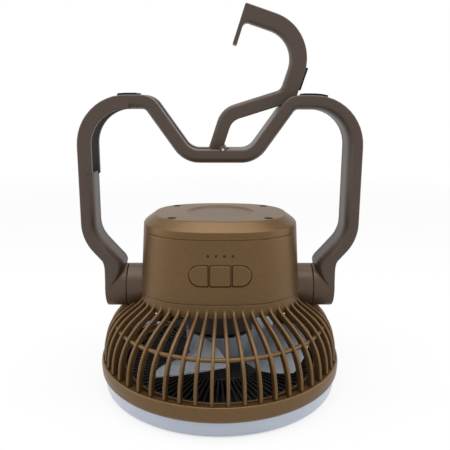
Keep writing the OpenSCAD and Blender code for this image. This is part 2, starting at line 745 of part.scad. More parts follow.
module motor_magnets() color([0.3, 0.3, 0.33]) difference() {
    tube(motor_z + 6, bulkhead_z - 6, motor_r - can_wall - 0.05, motor_r - can_wall - 2.2);
    translate([-motor_r, -1.5, motor_z]) cube([2 * motor_r, 3, motor_l]);
}

module motor_rotor() color([0.7, 0.45, 0.25]) difference() {
    union() {
        translate([0, 0, motor_z + 7]) cylinder(h = motor_l - 14, r = motor_r - can_wall - 2.7);
        translate([0, 0, motor_z + 5]) cylinder(h = motor_l - 10.5, r = 4);
    }
    translate([0, 0, motor_z]) cylinder(h = motor_l, r = shaft_r + 0.01);
    for (i = [0 : 4]) rotate([0, 0, 72 * i]) translate([5.5, -0.8, motor_z]) cube([motor_r, 1.6, motor_l]);
}

module motor_shaft() color("silver")
    translate([0, 0, hub_z + 0.3]) cylinder(h = bulkhead_z - can_wall - 0.2 - hub_z - 0.3, r = shaft_r);

module motor_bearings() color("silver")
    for (z = [motor_z + 1, bulkhead_z - can_wall - bearing_w])
        tube(z, z + bearing_w, bearing_r, shaft_r + run_play);

module motor_screws() color("silver")
    for (i = [0 : 2]) rotate([0, 0, 120 * i + 30]) translate([screw_ring_r, 0, 0]) {
        translate([0, 0, bulkhead_z - can_wall - 1.2]) cylinder(h = bulkhead_t + can_wall + 1.2 + eps, r = 1.25);
        translate([0, 0, bulkhead_top]) cylinder(h = 1.5, r = 2.3);
    }

module fan_blades() color([0.72, 0.75, 0.8]) difference() {
    union() {
        tube(hub_z, hub_top, blade_hub_r, blade_hub_r - hub_wall);
        translate([0, 0, hub_z]) cylinder(h = hub_wall, r = blade_hub_r - hub_wall / 2);
        translate([0, 0, hub_z]) cylinder(h = hub_top - hub_z, r = 5);
        for (i = [0 : blade_count - 1]) rotate([0, 0, 360 * i / blade_count + blade_turn])
            translate([0, 0, hub_z + 0.4]) linear_extrude(blade_h, twist = -blade_sweep, slices = 8, $fn = 8)
                translate([blade_hub_r - 1.2, -blade_t / 2]) square([blade_r - blade_hub_r + 1.2, blade_t]);
    }
    translate([0, 0, hub_z - 1]) cylinder(h = motor_l, r = shaft_r + 0.01);
}

module blade_cap() color([0.72, 0.75, 0.8]) translate([0, 0, hub_z - 2]) cylinder(h = 2, r = 6);

// ---- Hinges ----

module hinge_hub() color([0.33, 0.27, 0.23]) translate([0, 0, hinge_z]) difference() {
    union() {
        pin_x(hub_in_x, hinge_split_x - 0.2, hinge_r);
        pin_x(hub_in_x, flange_x, hub_flange_r);
    }
    pin_x(hub_in_x - 1, hinge_split_x + 1, bolt_r + run_play);
}

module hinge_hub_right() hinge_hub();
module hinge_hub_left() mirror([1, 0, 0]) hinge_hub();

module hinge_bolts() color("silver") both_sides() translate([0, 0, hinge_z]) {
    pin_x(hub_in_x - nut_l - 1, spring_x + spring_t + eps, bolt_r);
    pin_x(spring_x + spring_t, spring_x + spring_t + head_l, bolt_head_r);
}

module hinge_nuts() color("silver") both_sides() translate([0, 0, hinge_z]) difference() {
    translate([hub_in_x - nut_l, 0, 0]) rotate([0, 90, 0]) cylinder(h = nut_l, r = nut_r, $fn = 6);
    pin_x(hub_in_x - nut_l - 1, hub_in_x + 1, bolt_r + 0.02);
}

module friction_washers() color([0.85, 0.85, 0.8]) both_sides() translate([0, 0, hinge_z]) difference() {
    pin_x(hinge_split_x - 0.2, drum_in_x, hinge_r - 2.5);
    pin_x(hinge_split_x - 1, drum_in_x + 1, bolt_r + run_play);
}

module spring_washers() color("silver") both_sides() translate([0, 0, hinge_z]) difference() {
    pin_x(spring_x, spring_x + spring_t, bolt_head_r + 0.5);
    pin_x(spring_x - 1, spring_x + spring_t + 1, bolt_r + run_play);
}

module hinge_cap() color([0.3, 0.25, 0.21])
    translate([0, 0, hinge_z]) pin_x(drum_out_x - cap_l, drum_out_x, cap_r - gap);

module hinge_cap_right() hinge_cap();
module hinge_cap_left() mirror([1, 0, 0]) hinge_cap();

// ---- Stand ----

// Centre line of the whole stand, from the right drum over the crossbar to the left drum
whole_path = concat(stand_path, reversed([for (v = stand_path) flip(v)]));

// Filled corner between a drum's outer part and its leg
module ankle_outline() {
    along = [cos(elbow_angle), sin(elbow_angle)];
    out = [along.y, -along.x];
    knee = [drum_x, ankle_z];
    run = (drum_out_x - drum_x - out.x * band_t / 2) / along.x;
    polygon(rounded([
        [drum_x, hinge_z, 0], [drum_out_x, hinge_z, 0],
        [drum_out_x, knee.y + out.y * band_t / 2 + along.y * run, 6],
        concat(knee + out * band_t / 2 + along * (run + 6), [0]),
        concat(knee + along * (run + 3), [0]), [drum_x, ankle_z, 0]]));
}

// Full outline of the stand's band with thickness t, and with the ankles
module stand_outline(t) polygon(band(whole_path, t));

// What the hook's slot and its window take out of the stand, at and below depth y
module stow_cuts() {
    translate([-leg_out_x - 1, -slot_y, window_z]) cube([leg_out_x + 1 + slot_end_x, 2 * slot_y, shoulder_rise]);
    translate([-leg_out_x - 1, -stand_d / 2 + window_wall, window_z])
        cube([leg_out_x + 1 - window_x, stand_d - 2 * window_wall, shoulder_rise]);
}

stand_screw_at = [[-leg_x, elbow_z + 18], [leg_x, elbow_z + 18], [leg_x, shoulder_z - 32],
                  [(peak_x + valley_x) / 2, (shoulder_z + bar_z) / 2], [14, bar_z]];

// Hollow of the shells: right half, and the left leg below the window
module hollow_outline() difference() {
    stand_outline(band_t - 2 * shell_wall);
    translate([-leg_out_x, window_z - shell_wall]) square([leg_out_x + slot_end_x + shell_wall, shoulder_rise]);
    translate([-leg_out_x, hinge_z - 1]) square([2 * leg_out_x, elbow_rise - 8]);
    for (p = stand_screw_at) translate(p) circle(r = 3);
}

module drum() translate([0, 0, hinge_z]) rotate([0, 90, 0]) rotate_extrude()
    polygon(rounded([[0, drum_in_x, 0], [hinge_r, drum_in_x, 0.4], [hinge_r, drum_out_x, 2.5], [0, drum_out_x, 0]]));

module drum_cuts() translate([0, 0, hinge_z]) {
    pin_x(drum_in_x - 1, drum_out_x + 1, bolt_r + run_play);
    pin_x(spring_x, drum_out_x + 1, bolt_head_r + 2);
    pin_x(drum_out_x - cap_l, drum_out_x + 1, cap_r);
}

// Seat of the raised hook and its pad in the right shoulder
module seat() plate(-slot_y, slot_y + eps) raised() {
    polygon(rounded(grown(hook_vertices, move_gap)));
    hook_pad_outline(move_gap);
}

module stand_front_shell() color([0.33, 0.28, 0.24]) difference() {
    union() {
        plate(-stand_d / 2, seam_y) stand_outline(band_t);
        both_sides() plate(-stand_d / 2 + 1, seam_y) ankle_outline();
        both_sides() drum();
        translate([pin_x, 0, pin_z]) pin_y(-stand_d / 2, seam_y, ear_r);
    }
    stow_cuts();
    plate(-stand_d / 2 + shell_wall, seam_y + 1) hollow_outline();
    both_sides() drum_cuts();
    translate([pin_x, 0, pin_z]) pin_y(-stand_d, stand_d, pin_r + run_play);
    seat();
    for (p = stand_screw_at) translate([p.x, 0, p.y]) pin_y(-stand_d / 2 + 3, seam_y + 1, 1.15);
}

module stand_rear_shell() color([0.27, 0.23, 0.2]) difference() {
    union() {
        plate(seam_y, stand_d / 2) stand_outline(band_t);
        both_sides() plate(seam_y, stand_d / 2 - 1) ankle_outline();
        translate([pin_x, 0, pin_z]) pin_y(seam_y, stand_d / 2, ear_r);
    }
    both_sides() translate([0, 0, hinge_z]) pin_x(drum_in_x - 1, drum_out_x + 1, hinge_r + gap);
    both_sides() translate([0, 0, hinge_z - 20]) cube([leg_out_x, stand_d, 20]);
    stow_cuts();
    plate(seam_y - 1, stand_d / 2 - shell_wall) hollow_outline();
    translate([pin_x, 0, pin_z]) pin_y(-stand_d, stand_d, pin_r + run_play);
    for (p = stand_screw_at) translate([p.x, 0, p.y]) {
        pin_y(seam_y - 1, stand_d, 1.4);
        pin_y(stand_d / 2 - 2, stand_d, 2.5);
    }
}

module stand_screws() color("silver")
    for (p = stand_screw_at) translate([p.x, 0, p.y]) {
        pin_y(-6, stand_d / 2 - 2 + eps, 1.1);
        pin_y(stand_d / 2 - 2, stand_d / 2 - 0.4, 2.3);
    }

// Pad of length l on the right shoulder, with its middle at x
module pad_outline(x, l) difference() {
    intersection() {
        stand_outline(band_t + 2 * pad_t);
        translate([x - l / 2, shoulder_z]) square([l, band_t]);
    }
    stand_outline(band_t);
}

module stand_pad_right() color([0.05, 0.05, 0.05]) difference() {
    plate(-stand_d / 2 + 2, stand_d / 2 - 2) pad_outline(pad_x, pad_l);
    seat();
}

// The left pad is a pair of strips, one on each side of the hook's slot
module stand_pad_left() color([0.05, 0.05, 0.05]) mirror([1, 0, 0]) {
    plate(-stand_d / 2 + 2, -slot_y - 0.8) pad_outline(left_pad_x, left_pad_l);
    plate(slot_y + 0.8, stand_d / 2 - 2) pad_outline(left_pad_x, left_pad_l);
}

// ---- Hook ----

// Turns a stowed outline up to the raised place, about the hook's pin
module raised() translate([pin_x, pin_z]) rotate(-hook_swing) translate([-pin_x, -pin_z]) children();

// Vertices of the stowed hook, counter-clockwise from the foot of its arm
slope_run = 1 / tan(slope_angle);
low_corner_x = -valley_x - 1.2;
high_corner_x = -valley_x + 4.3;
hook_vertices = [
    [pin_x + hook_tail, pin_z, 0.8],
    [high_corner_x, pin_z, 10],
    [high_corner_x - (hook_top - pin_z) * slope_run, hook_top, 9],
    [bow_x, hook_top, bow_r],
    [bow_x, lip_z0, 1],
    [bow_x + hook_bow_t + lip_l, lip_z0, 0.6],
    [bow_x + hook_bow_t + lip_l, lip_z0 + lip_t, 0.6],
    [bow_x + hook_bow_t, lip_z0 + lip_t, 3],
    [bow_x + hook_bow_t, hook_top - hook_bow_t, bow_r - hook_bow_t],
    [low_corner_x - (hook_top - hook_bow_t - arm_low) * slope_run, hook_top - hook_bow_t, 6],
    [low_corner_x, arm_low, 17],
    [pin_x + hook_tail, arm_low, 0.8]];

module hook_outline() union() {
    polygon(rounded(hook_vertices));
    translate([pin_x, pin_z]) circle(r = knuckle_r);
}

module hook() color([0.35, 0.28, 0.24]) difference() {
    plate(-hook_w / 2, hook_w / 2) raised() hook_outline();
    translate([pin_x, 0, pin_z]) pin_y(-hook_w, hook_w, pin_r + run_play);
}

// Outline of the stowed hook's pad, grown by g
module hook_pad_outline(g)
    translate([-hook_pad_x - pad_l / 2 - g, hook_top - g]) square([pad_l + 2 * g, pad_t + 2 * g]);

module hook_pad() color([0.05, 0.05, 0.05])
    plate(-hook_w / 2 + 1, hook_w / 2 - 1) raised() hook_pad_outline(0);

module hook_pin() color("silver") translate([pin_x, 0, pin_z]) pin_y(-stand_d / 2 - 0.3, stand_d / 2, pin_r);

light_diffuser();
led_board();
led_chips();
rim_ring();
front_grille();
rear_cage();
housing_shell();
top_cover();
cover_screws();
cover_plugs();
button_left();
button_center();
button_right();
indicator_lenses();
indicator_leds();
control_board();
board_screws();
tact_switches();
battery_cells();
battery_holder();
power_board();
usb_c_port();
motor_can();
motor_end_cap();
motor_magnets();
motor_rotor();
motor_shaft();
motor_bearings();
motor_screws();
fan_blades();
blade_cap();
hinge_hub_left();
hinge_hub_right();
hinge_bolts();
hinge_nuts();
friction_washers();
spring_washers();
hinge_cap_left();
hinge_cap_right();
stand_front_shell();
stand_rear_shell();
stand_screws();
stand_pad_left();
stand_pad_right();
hook();
hook_pad();
hook_pin();
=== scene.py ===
"""Visual model of a portable camping fan.

A caged fan head rests on its light ring. A folding stand turns about two hinges at the sides of the
head, and a folding hook turns in the stand's crossbar. Sizes are in millimetres, in the frame of the
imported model, and turn into metres where a mesh is made.
"""

from __future__ import annotations

import logging
import math
from collections.abc import Callable, Iterable, Sequence
from dataclasses import dataclass, replace
from enum import Enum
from typing import NamedTuple

import bmesh
import bpy
from mathutils import Matrix, Vector

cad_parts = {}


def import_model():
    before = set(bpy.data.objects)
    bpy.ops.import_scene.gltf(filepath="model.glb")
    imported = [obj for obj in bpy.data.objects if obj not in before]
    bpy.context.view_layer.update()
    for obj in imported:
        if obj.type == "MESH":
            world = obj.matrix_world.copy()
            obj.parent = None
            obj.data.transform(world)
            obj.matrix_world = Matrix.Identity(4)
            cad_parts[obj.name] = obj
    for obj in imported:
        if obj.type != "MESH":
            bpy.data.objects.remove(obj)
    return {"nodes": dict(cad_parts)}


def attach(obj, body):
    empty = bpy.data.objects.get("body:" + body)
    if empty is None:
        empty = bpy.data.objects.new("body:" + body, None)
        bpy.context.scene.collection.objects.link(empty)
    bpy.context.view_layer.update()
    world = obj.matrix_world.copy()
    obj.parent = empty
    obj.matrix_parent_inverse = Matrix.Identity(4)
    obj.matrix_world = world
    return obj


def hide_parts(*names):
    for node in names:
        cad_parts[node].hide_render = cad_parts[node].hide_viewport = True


LOG = logging.getLogger("camping_fan")
MM = 0.001
SHARP = 32.0  # the angle in degrees above which an edge looks sharp
PLAN_POINTS = 160
HINGE_Z = 70.0
HINGE_R = 15.0
HINGE_OUT = 79.5
WHITE = (1.0, 1.0, 1.0, 1.0)
SIDES = ((1, "right"), (-1, "left"))
Flat = tuple[float, float]
Solid = tuple[float, float, float]


# ---------------------------------------------------------------- finishes


def srgb(*display: float) -> tuple[float, ...]:
    """The linear opaque colour of a display colour whose parts run from 0 to 255."""
    parts = [value / 255 for value in display]
    return (*(part / 12.92 if part <= 0.04045 else ((part + 0.055) / 1.055) ** 2.4 for part in parts), 1.0)


def shade(colour: Solid, factor: float) -> tuple[float, ...]:
    """The linear colour of a display colour made darker or paler by a factor."""
    return srgb(*(min(255.0, part * factor) for part in colour))


class Signal:
    """A value that varies over a surface: an output socket with arithmetic."""

    def __init__(self, graph: Graph, socket: bpy.types.NodeSocket) -> None:
        """Wraps a socket of a graph."""
        self.graph = graph
        self.socket = socket

    def _math(self, operation: str, *operands: Signal | float) -> Signal:
        """The result of one Math node."""
        return self.graph.add("ShaderNodeMath", {"operation": operation}, dict(enumerate(operands)))

    def __add__(self, other: Signal | float) -> Signal:
        """The sum."""
        return self._math("ADD", self, other)

    __radd__ = __add__

    def __rsub__(self, other: float) -> Signal:
        """The difference, with the number first."""
        return self._math("SUBTRACT", other, self)

    def __mul__(self, other: Signal | float) -> Signal:
        """The product."""
        return self._math("MULTIPLY", self, other)

    def clipped(self, low: float, high: float) -> Signal:
        """Where this value lies between low and high, as a number from 0 to 1."""
        sockets = {"Value": self, "From Min": low, "From Max": high}
        return self.graph.add("ShaderNodeMapRange", {"clamp": True}, sockets)


class Graph:
    """The node tree of a material or of the world."""

    def __init__(self, owner: bpy.types.Material | bpy.types.World) -> None:
        """Empties the owner's tree.

        Args:
            owner: The new material or world.
        """
        owner.use_nodes = True
        self.owner = owner
        self.tree = owner.node_tree
        self.tree.nodes.clear()

    def add(self, kind: str, settings: dict[str, object] | None = None,
            inputs: dict[str | int, object] | None = None, output: str | int = 0) -> Signal:
        """Adds a node.

        Args:
            kind: The node's type.
            settings: Its properties.
            inputs: Values or signals for its input sockets, by name or place.
            output: The output socket that is wanted.

        Returns:
            The wanted output.
        """
        node = self.tree.nodes.new(kind)
        for key, value in (settings or {}).items():
            setattr(node, key, value)
        for key, value in (inputs or {}).items():
            if isinstance(value, Signal):
                self.tree.links.new(value.socket, node.inputs[key])
            else:
                node.inputs[key].default_value = value
        return Signal(self, node.outputs[output])

    def place(self) -> Signal:
        """The surface point in the piece's own space."""
        return self.add("ShaderNodeTexCoord", output="Object")

    def noise(self, scale: float, detail: float = 2.0, roughness: float = 0.5) -> Signal:
        """Cloudy noise from 0 to 1, with so many features per metre and octaves of finer noise."""
        sockets = {"Vector": self.place(), "Scale": scale, "Detail": detail, "Roughness": roughness}
        return self.add("ShaderNodeTexNoise", None, sockets)

    def wave(self, scale: float, distortion: float, detail: float = 2.0) -> Signal:
        """Bands along the piece's Z axis, from 0 to 1."""
        sockets = {"Vector": self.place(), "Scale": scale, "Distortion": distortion, "Detail": detail}
        return self.add("ShaderNodeTexWave", {"bands_direction": "Z"}, sockets, "Fac")

    def mix(self, first: object, second: object, share: Signal | float) -> Signal:
        """Two colours mixed, by the second one's share."""
        return self.add("ShaderNodeMix", {"data_type": "RGBA"}, {0: share, 6: first, 7: second}, 2)

    def edges(self, radius: float, low: float, high: float) -> Signal:
        """Where edges are.

        Args:
            radius: How far from an edge the mask reaches, in metres.
            low: The turn of the surface that gives 0.
            high: The turn of the surface that gives 1.

        Returns:
            The mask, 0 on flats and 1 on sharp edges.
        """
        soft = self.add("ShaderNodeBevel", {"samples": 4}, {"Radius": radius})
        plain = self.add("ShaderNodeNewGeometry", output="Normal")
        same = self.add("ShaderNodeVectorMath", {"operation": "DOT_PRODUCT"}, {0: soft, 1: plain}, "Value")
        return (1 - same).clipped(low, high)

    def relief(self, height: Signal, depth: float, strength: float) -> Signal:
        """A bumped normal, from a height of 0 to 1 and the relief's depth in metres."""
        sockets = {"Height": height, "Distance": depth, "Strength": strength}
        return self.add("ShaderNodeBump", None, sockets, "Normal")

    def seen(self) -> Signal:
        """Whether the camera sees a point, directly, in a reflection or through a clear piece.

        Returns:
            The mask, 0 for light that falls on other surfaces and 1 for what is seen.
        """
        rays = ("Is Camera Ray", "Is Glossy Ray", "Is Transmission Ray")
        first, second, third = (self.add("ShaderNodeLightPath", output=ray) for ray in rays)
        return (first + second + third).clipped(0.0, 1.0)

    def finish(self, constants: dict[str, object], varying: dict[str, Signal]) -> None:
        """Ends with a Principled shader, some of whose sockets change over the surface."""
        self.end(self.add("ShaderNodeBsdfPrincipled", None, {**constants, **varying}))

    def end(self, shader: Signal, kind: str = "ShaderNodeOutputMaterial") -> None:
        """Links a shader to a new output."""
        node = self.tree.nodes.new(kind)
        self.tree.links.new(shader.socket, node.inputs["Surface"])


PAINTED: dict[str, bpy.types.Material] = {}


@dataclass(frozen=True)
class Finish:
    """A surface finish, painted on first use and shared after that."""

    label: str
    slot: str

    def material(self) -> bpy.types.Material:
        """The finish's material."""
        if self.label not in PAINTED:
            graph = Graph(bpy.data.materials.new(self.label))
            self.paint(graph)
            PAINTED[self.label] = graph.owner
        return PAINTED[self.label]

    def paint(self, graph: Graph) -> None:
        """Fills the material's node tree."""
        raise NotImplementedError


@dataclass(frozen=True)
class MouldedPlastic(Finish):
    """Satin moulded plastic with a fine spark texture and a painted highlight along its edges."""

    dark: Solid
    light: Solid
    edge_highlight: Solid
    roughness: float = 0.42
    metallic: float = 0.0
    grain: float = 0.12
    edge_highlight_share: float = 0.35

    def paint(self, graph: Graph) -> None:
        """Paints cloudy colour, a painted highlight along the edges, uneven gloss and spark grain.

        Args:
            graph: The material's node tree.
        """
        cloud = graph.noise(22.0, 2.0)
        speck = graph.noise(900.0, 3.0, 0.7)
        tone = graph.mix(srgb(*self.dark), srgb(*self.light), cloud * 0.3 + speck.clipped(0.3, 0.7) * 0.7)
        # Paler colour along the edges is a painted highlight, standing in for light that the edges catch.
        painted_edge_highlight = graph.edges(0.0005, 0.01, 0.25) * self.edge_highlight_share
        graph.finish({"Metallic": self.metallic, "Specular IOR Level": 0.5},
                     {"Base Color": graph.mix(tone, srgb(*self.edge_highlight), painted_edge_highlight),
                      "Roughness": self.roughness - 0.05 + speck * 0.06 + cloud * 0.04,
                      "Normal": graph.relief(speck, 0.00012, self.grain)})


@dataclass(frozen=True)
class MilkyPlastic(Finish):
    """Milky translucent plastic over a row of lights."""

    dark: Solid
    light: Solid

    def paint(self, graph: Graph) -> None:
        """Paints a cool white that is slightly cloudy.

        Args:
            graph: The material's node tree.
        """
        cloud = graph.noise(35.0, 3.0)
        fine = graph.noise(700.0, 2.0)
        graph.finish({"Coat Weight": 0.25, "Coat Roughness": 0.2, "Subsurface Weight": 0.15,
                      "Subsurface Radius": (0.004, 0.004, 0.005), "Subsurface Scale": 1.0},
                     {"Base Color": graph.mix(srgb(*self.dark), srgb(*self.light), cloud),
                      "Roughness": 0.34 + fine * 0.06, "Normal": graph.relief(fine, 0.0001, 0.08)})


@dataclass(frozen=True)
class Metal(Finish):
    """Turned or drawn metal with fine marks."""

    colour: Solid
    roughness: float = 0.28

    def paint(self, graph: Graph) -> None:
        """Paints streaks, small stains and uneven gloss.

        Args:
            graph: The material's node tree.
        """
        streaks = graph.wave(900.0, 4.0)
        stain = graph.noise(160.0, 3.0)
        colour = graph.mix(srgb(*self.colour), shade(self.colour, 1.12), streaks * 0.4 + stain * 0.6)
        graph.finish({"Metallic": 1.0},
                     {"Base Color": colour, "Roughness": self.roughness + stain * 0.14,
                      "Normal": graph.relief(streaks, 0.00004, 0.2)})


@dataclass(frozen=True)
class SoftRubber(Finish):
    """Matt rubber with a dusty skin."""

    colour: Solid
    dust: Solid

    def paint(self, graph: Graph) -> None:
        """Paints a dull black with dust on it.

        Args:
            graph: The material's node tree.
        """
        dust = graph.noise(420.0, 4.0, 0.7)
        colour = graph.mix(srgb(*self.colour), srgb(*self.dust), dust.clipped(0.4, 0.8) * 0.5)
        graph.finish({"Specular IOR Level": 0.3},
                     {"Base Color": colour, "Roughness": 0.72 + dust * 0.2,
                      "Normal": graph.relief(dust, 0.0001, 0.25)})


@dataclass(frozen=True)
class CircuitBoard(Finish):
    """Lacquered board with tracks under the lacquer and solder pads."""

    lacquer: Solid
    track: Solid
    solder: Solid = (190, 188, 180)

    def paint(self, graph: Graph) -> None:
        """Paints tracks and pads.

        Args:
            graph: The material's node tree.
        """
        tracks = graph.add("ShaderNodeTexBrick", {"offset": 0.37},
                           {"Vector": graph.place(), "Scale": 260.0, "Mortar Size": 0.05,
                            "Color1": (0, 0, 0, 1), "Color2": (0.3, 0.3, 0.3, 1), "Mortar": WHITE}, "Fac")
        pads = graph.noise(900.0, 0.0).clipped(0.66, 0.7)
        lacquer = graph.mix(srgb(*self.lacquer), srgb(*self.track), tracks)
        graph.finish({"Coat Weight": 0.4},
                     {"Base Color": graph.mix(lacquer, srgb(*self.solder), pads),
                      "Roughness": 0.3 + pads * 0.1, "Metallic": pads * 0.8,
                      "Normal": graph.relief(tracks + pads, 0.00005, 0.4)})


@dataclass(frozen=True)
class Winding(Finish):
    """Enamelled wire, wound tightly."""

    colour: Solid

    def paint(self, graph: Graph) -> None:
        """Paints the turns of the wire.

        Args:
            graph: The material's node tree.
        """
        turns = graph.wave(620.0, 0.6)
        graph.finish({"Metallic": 0.9},
                     {"Base Color": graph.mix(shade(self.colour, 0.5), srgb(*self.colour), turns),
                      "Roughness": 0.3 + turns * 0.1, "Normal": graph.relief(turns, 0.0003, 0.6)})


@dataclass(frozen=True)
class Wrap(Finish):
    """Shrink wrap round a cell, with ripples near its ends."""

    colour: Solid

    def paint(self, graph: Graph) -> None:
        """Paints a plain glossy film with faint ripples.

        Args:
            graph: The material's node tree.
        """
        ripple = graph.noise(260.0, 1.0)
        graph.finish({"Coat Weight": 0.5},
                     {"Base Color": graph.mix(srgb(*self.colour), shade(self.colour, 1.25), ripple),
                      "Roughness": 0.25 + ripple * 0.15, "Normal": graph.relief(ripple, 0.0002, 0.2)})


@dataclass(frozen=True)
class Lamp(Finish):
    """Phosphor of a light chip, with a weak glow."""

    colour: Solid
    pale: Solid = (255, 244, 205)
    glow: float = 0.1

    def paint(self, graph: Graph) -> None:
        """Paints grainy phosphor.

        Args:
            graph: The material's node tree.
        """
        grain = graph.noise(2400.0, 1.0)
        tone = graph.mix(srgb(*self.colour), srgb(*self.pale), grain)
        graph.finish({"Emission Strength": self.glow},
                     {"Base Color": tone, "Emission Color": tone, "Roughness": 0.4 + grain * 0.2})


# The third colour of each moulded plastic is its painted edge highlight.
BROWN = MouldedPlastic("brown_shell", "brown_plastic", (88, 66, 36), (112, 83, 47), (160, 118, 70), 0.42, 0.5)
GREY_BROWN = MouldedPlastic("grey_brown_shell", "grey_plastic", (67, 54, 45), (79, 65, 54), (126, 108, 92),
                            0.44, 0.2)
HINGE_BROWN = MouldedPlastic("hinge_shell", "grey_plastic", (73, 56, 41), (87, 68, 50), (134, 112, 90),
                             0.42, 0.35)
# The stand's plastic made darker for the rear shell: painted shade on the back half of the stand.
PAINTED_SHADE_REAR = MouldedPlastic("rear_shell_painted_shade", "dark_plastic", (40, 35, 32), (50, 44, 40), (84, 75, 67))
BLACK = MouldedPlastic("black_moulding", "black_metal", (24, 22, 20), (32, 30, 27), (56, 52, 47), 0.62)
# The motor seat is brown plastic darkened to paint the shade inside the cage.
PAINTED_SHADE_SEAT = MouldedPlastic("motor_seat", "brown_plastic", (30, 19, 15), (38, 25, 20), (56, 38, 30), 0.55)
# The blades get the full painted highlight along their edges.
PALE = MouldedPlastic("pale_blades", "blade_plastic", (152, 158, 167), (168, 174, 183), (236, 240, 245),
                      0.34, edge_highlight_share=1.0)
MILKY = MilkyPlastic("milky_ring", "diffuser", (178, 187, 202), (192, 199, 212))
STEEL = Metal("bright_steel", "steel", (186, 186, 182))
MAGNET = Metal("grey_magnet", "magnet", (92, 92, 98), 0.5)
COPPER = Winding("copper_winding", "copper", (184, 105, 58))
RUBBER = SoftRubber("black_rubber", "rubber", (20, 20, 20), (44, 43, 42))
NYLON = MouldedPlastic("nylon_washer", "nylon", (206, 203, 190), (222, 219, 206), (232, 230, 220), 0.5)
GREEN_BOARD = CircuitBoard("green_board", "green_board", (18, 74, 44), (38, 104, 62))
WHITE_BOARD = CircuitBoard("white_board", "white_board", (226, 228, 226), (206, 208, 204))
CHIP = Lamp("light_chip", "led", (250, 214, 92))
LENS = MouldedPlastic("dark_lens", "lens", (24, 22, 20), (34, 30, 26), (60, 54, 46), 0.2)
CELL = Wrap("cell_wrap", "cell_wrap", (52, 96, 150))


# ---------------------------------------------------------------- shapes


class Skin:
    """Points and faces of one mesh, gathered in millimetres."""

    def __init__(self) -> None:
        """Starts empty."""
        self.points: list[Solid] = []
        self.faces: list[tuple[int, ...]] = []

    def stack(self, rings: Sequence[Iterable[Sequence[float]]], loop: bool = False) -> Skin:
        """Joins rings of as many points into a tube.

        Args:
            rings: The rings, in order.
            loop: Whether the last ring joins the first. If not, both ends are capped.

        Returns:
            This skin.
        """
        made = []
        for points in rings:
            start = len(self.points)
            self.points.extend(tuple(point) for point in points)
            made.append(range(start, len(self.points)))
        for first, second in zip(made, made[1:] + made[:1] if loop else made[1:]):
            for i, here in enumerate(first):
                j = (i + 1) % len(first)
                self.faces.append((here, first[j], second[j], second[i]))
        if not loop:
            self.faces.append(tuple(reversed(made[0])))
            self.faces.append(tuple(made[-1]))
        return self

    def mapped(self, change: Callable[[Vector], Vector]) -> Skin:
        """Moves every point to the place that a function gives."""
        self.points = [tuple(change(Vector(point))) for point in self.points]
        return self

    def mirrored(self, side: int) -> Skin:
        """Turns a piece of the right side (1) into one of the left side (-1)."""
        return self.mapped(lambda p: Vector((side * p.x, p.y, p.z)))

    def joined(self, *others: Skin) -> Skin:
        """Adds other skins to this one.

        Args:
            others: The skins.

        Returns:
            This skin.
        """
        for other in others:
            start = len(self.points)
            self.points.extend(other.points)
            self.faces.extend(tuple(i + start for i in face) for face in other.faces)
        return self

    def object(self, name: str, finish: Finish, sharp: float = SHARP) -> bpy.types.Object:
        """Makes the Blender object, with doubled points joined and the faces turned outwards.

        Args:
            name: The piece's name.
            finish: Its finish.
            sharp: The angle in degrees above which an edge looks sharp.

        Returns:
            The object, in metres.
        """
        mesh = bpy.data.meshes.new(name)
        mesh.from_pydata([Vector(point) * MM for point in self.points], [], self.faces)
        mesh.materials.append(finish.material())
        thing = bpy.data.objects.new(name, mesh)
        bpy.context.scene.collection.objects.link(thing)
        work = bmesh.new()
        work.from_mesh(mesh)
        bmesh.ops.remove_doubles(work, verts=work.verts, dist=2e-6)
        bmesh.ops.dissolve_degenerate(work, edges=work.edges, dist=1e-6)
        bmesh.ops.recalc_face_normals(work, faces=work.faces)
        work.to_mesh(mesh)
        work.free()
        settle(thing, sharp)
        return thing


def settle(thing: bpy.types.Object, sharp: float) -> None:
    """Smooths the shading, with flat faces left flat, and applies what is on the object.

    Args:
        thing: The mesh object.
        sharp: The angle in degrees above which an edge looks sharp.
    """
    thing.data.shade_smooth()
    thing.data.set_sharp_from_angle(angle=math.radians(sharp))
    step = thing.modifiers.new("even", "WEIGHTED_NORMAL")
    step.keep_sharp = True
    applied(thing)


def applied(thing: bpy.types.Object) -> None:
    """Makes what the object's modifiers give its mesh.

    Args:
        thing: The mesh object.
    """
    bpy.context.view_layer.update()
    made = bpy.data.meshes.new_from_object(thing.evaluated_get(bpy.context.evaluated_depsgraph_get()))
    thing.modifiers.clear()
    past, thing.data = thing.data, made
    bpy.data.meshes.remove(past)
    made.name = thing.name


def carve(thing: bpy.types.Object, cutters: Sequence[bpy.types.Object], sharp: float) -> None:
    """Cuts solids out of an object, and removes them.

    Args:
        thing: The object.
        cutters: The solids.
        sharp: The angle in degrees above which an edge looks sharp.
    """
    for cutter in cutters:
        step = thing.modifiers.new("cut", "BOOLEAN")
        step.operation, step.solver, step.object = "DIFFERENCE", "EXACT", cutter
    applied(thing)
    for cutter in cutters:
        bpy.data.objects.remove(cutter)
    settle(thing, sharp)


class Corner(NamedTuple):
    """A corner of an outline or a path, with the radius that rounds it."""

    x: float
    z: float
    r: float = 0.0

    @property
    def at(self) -> Vector:
        """The corner's place."""
        return Vector((self.x, self.z))


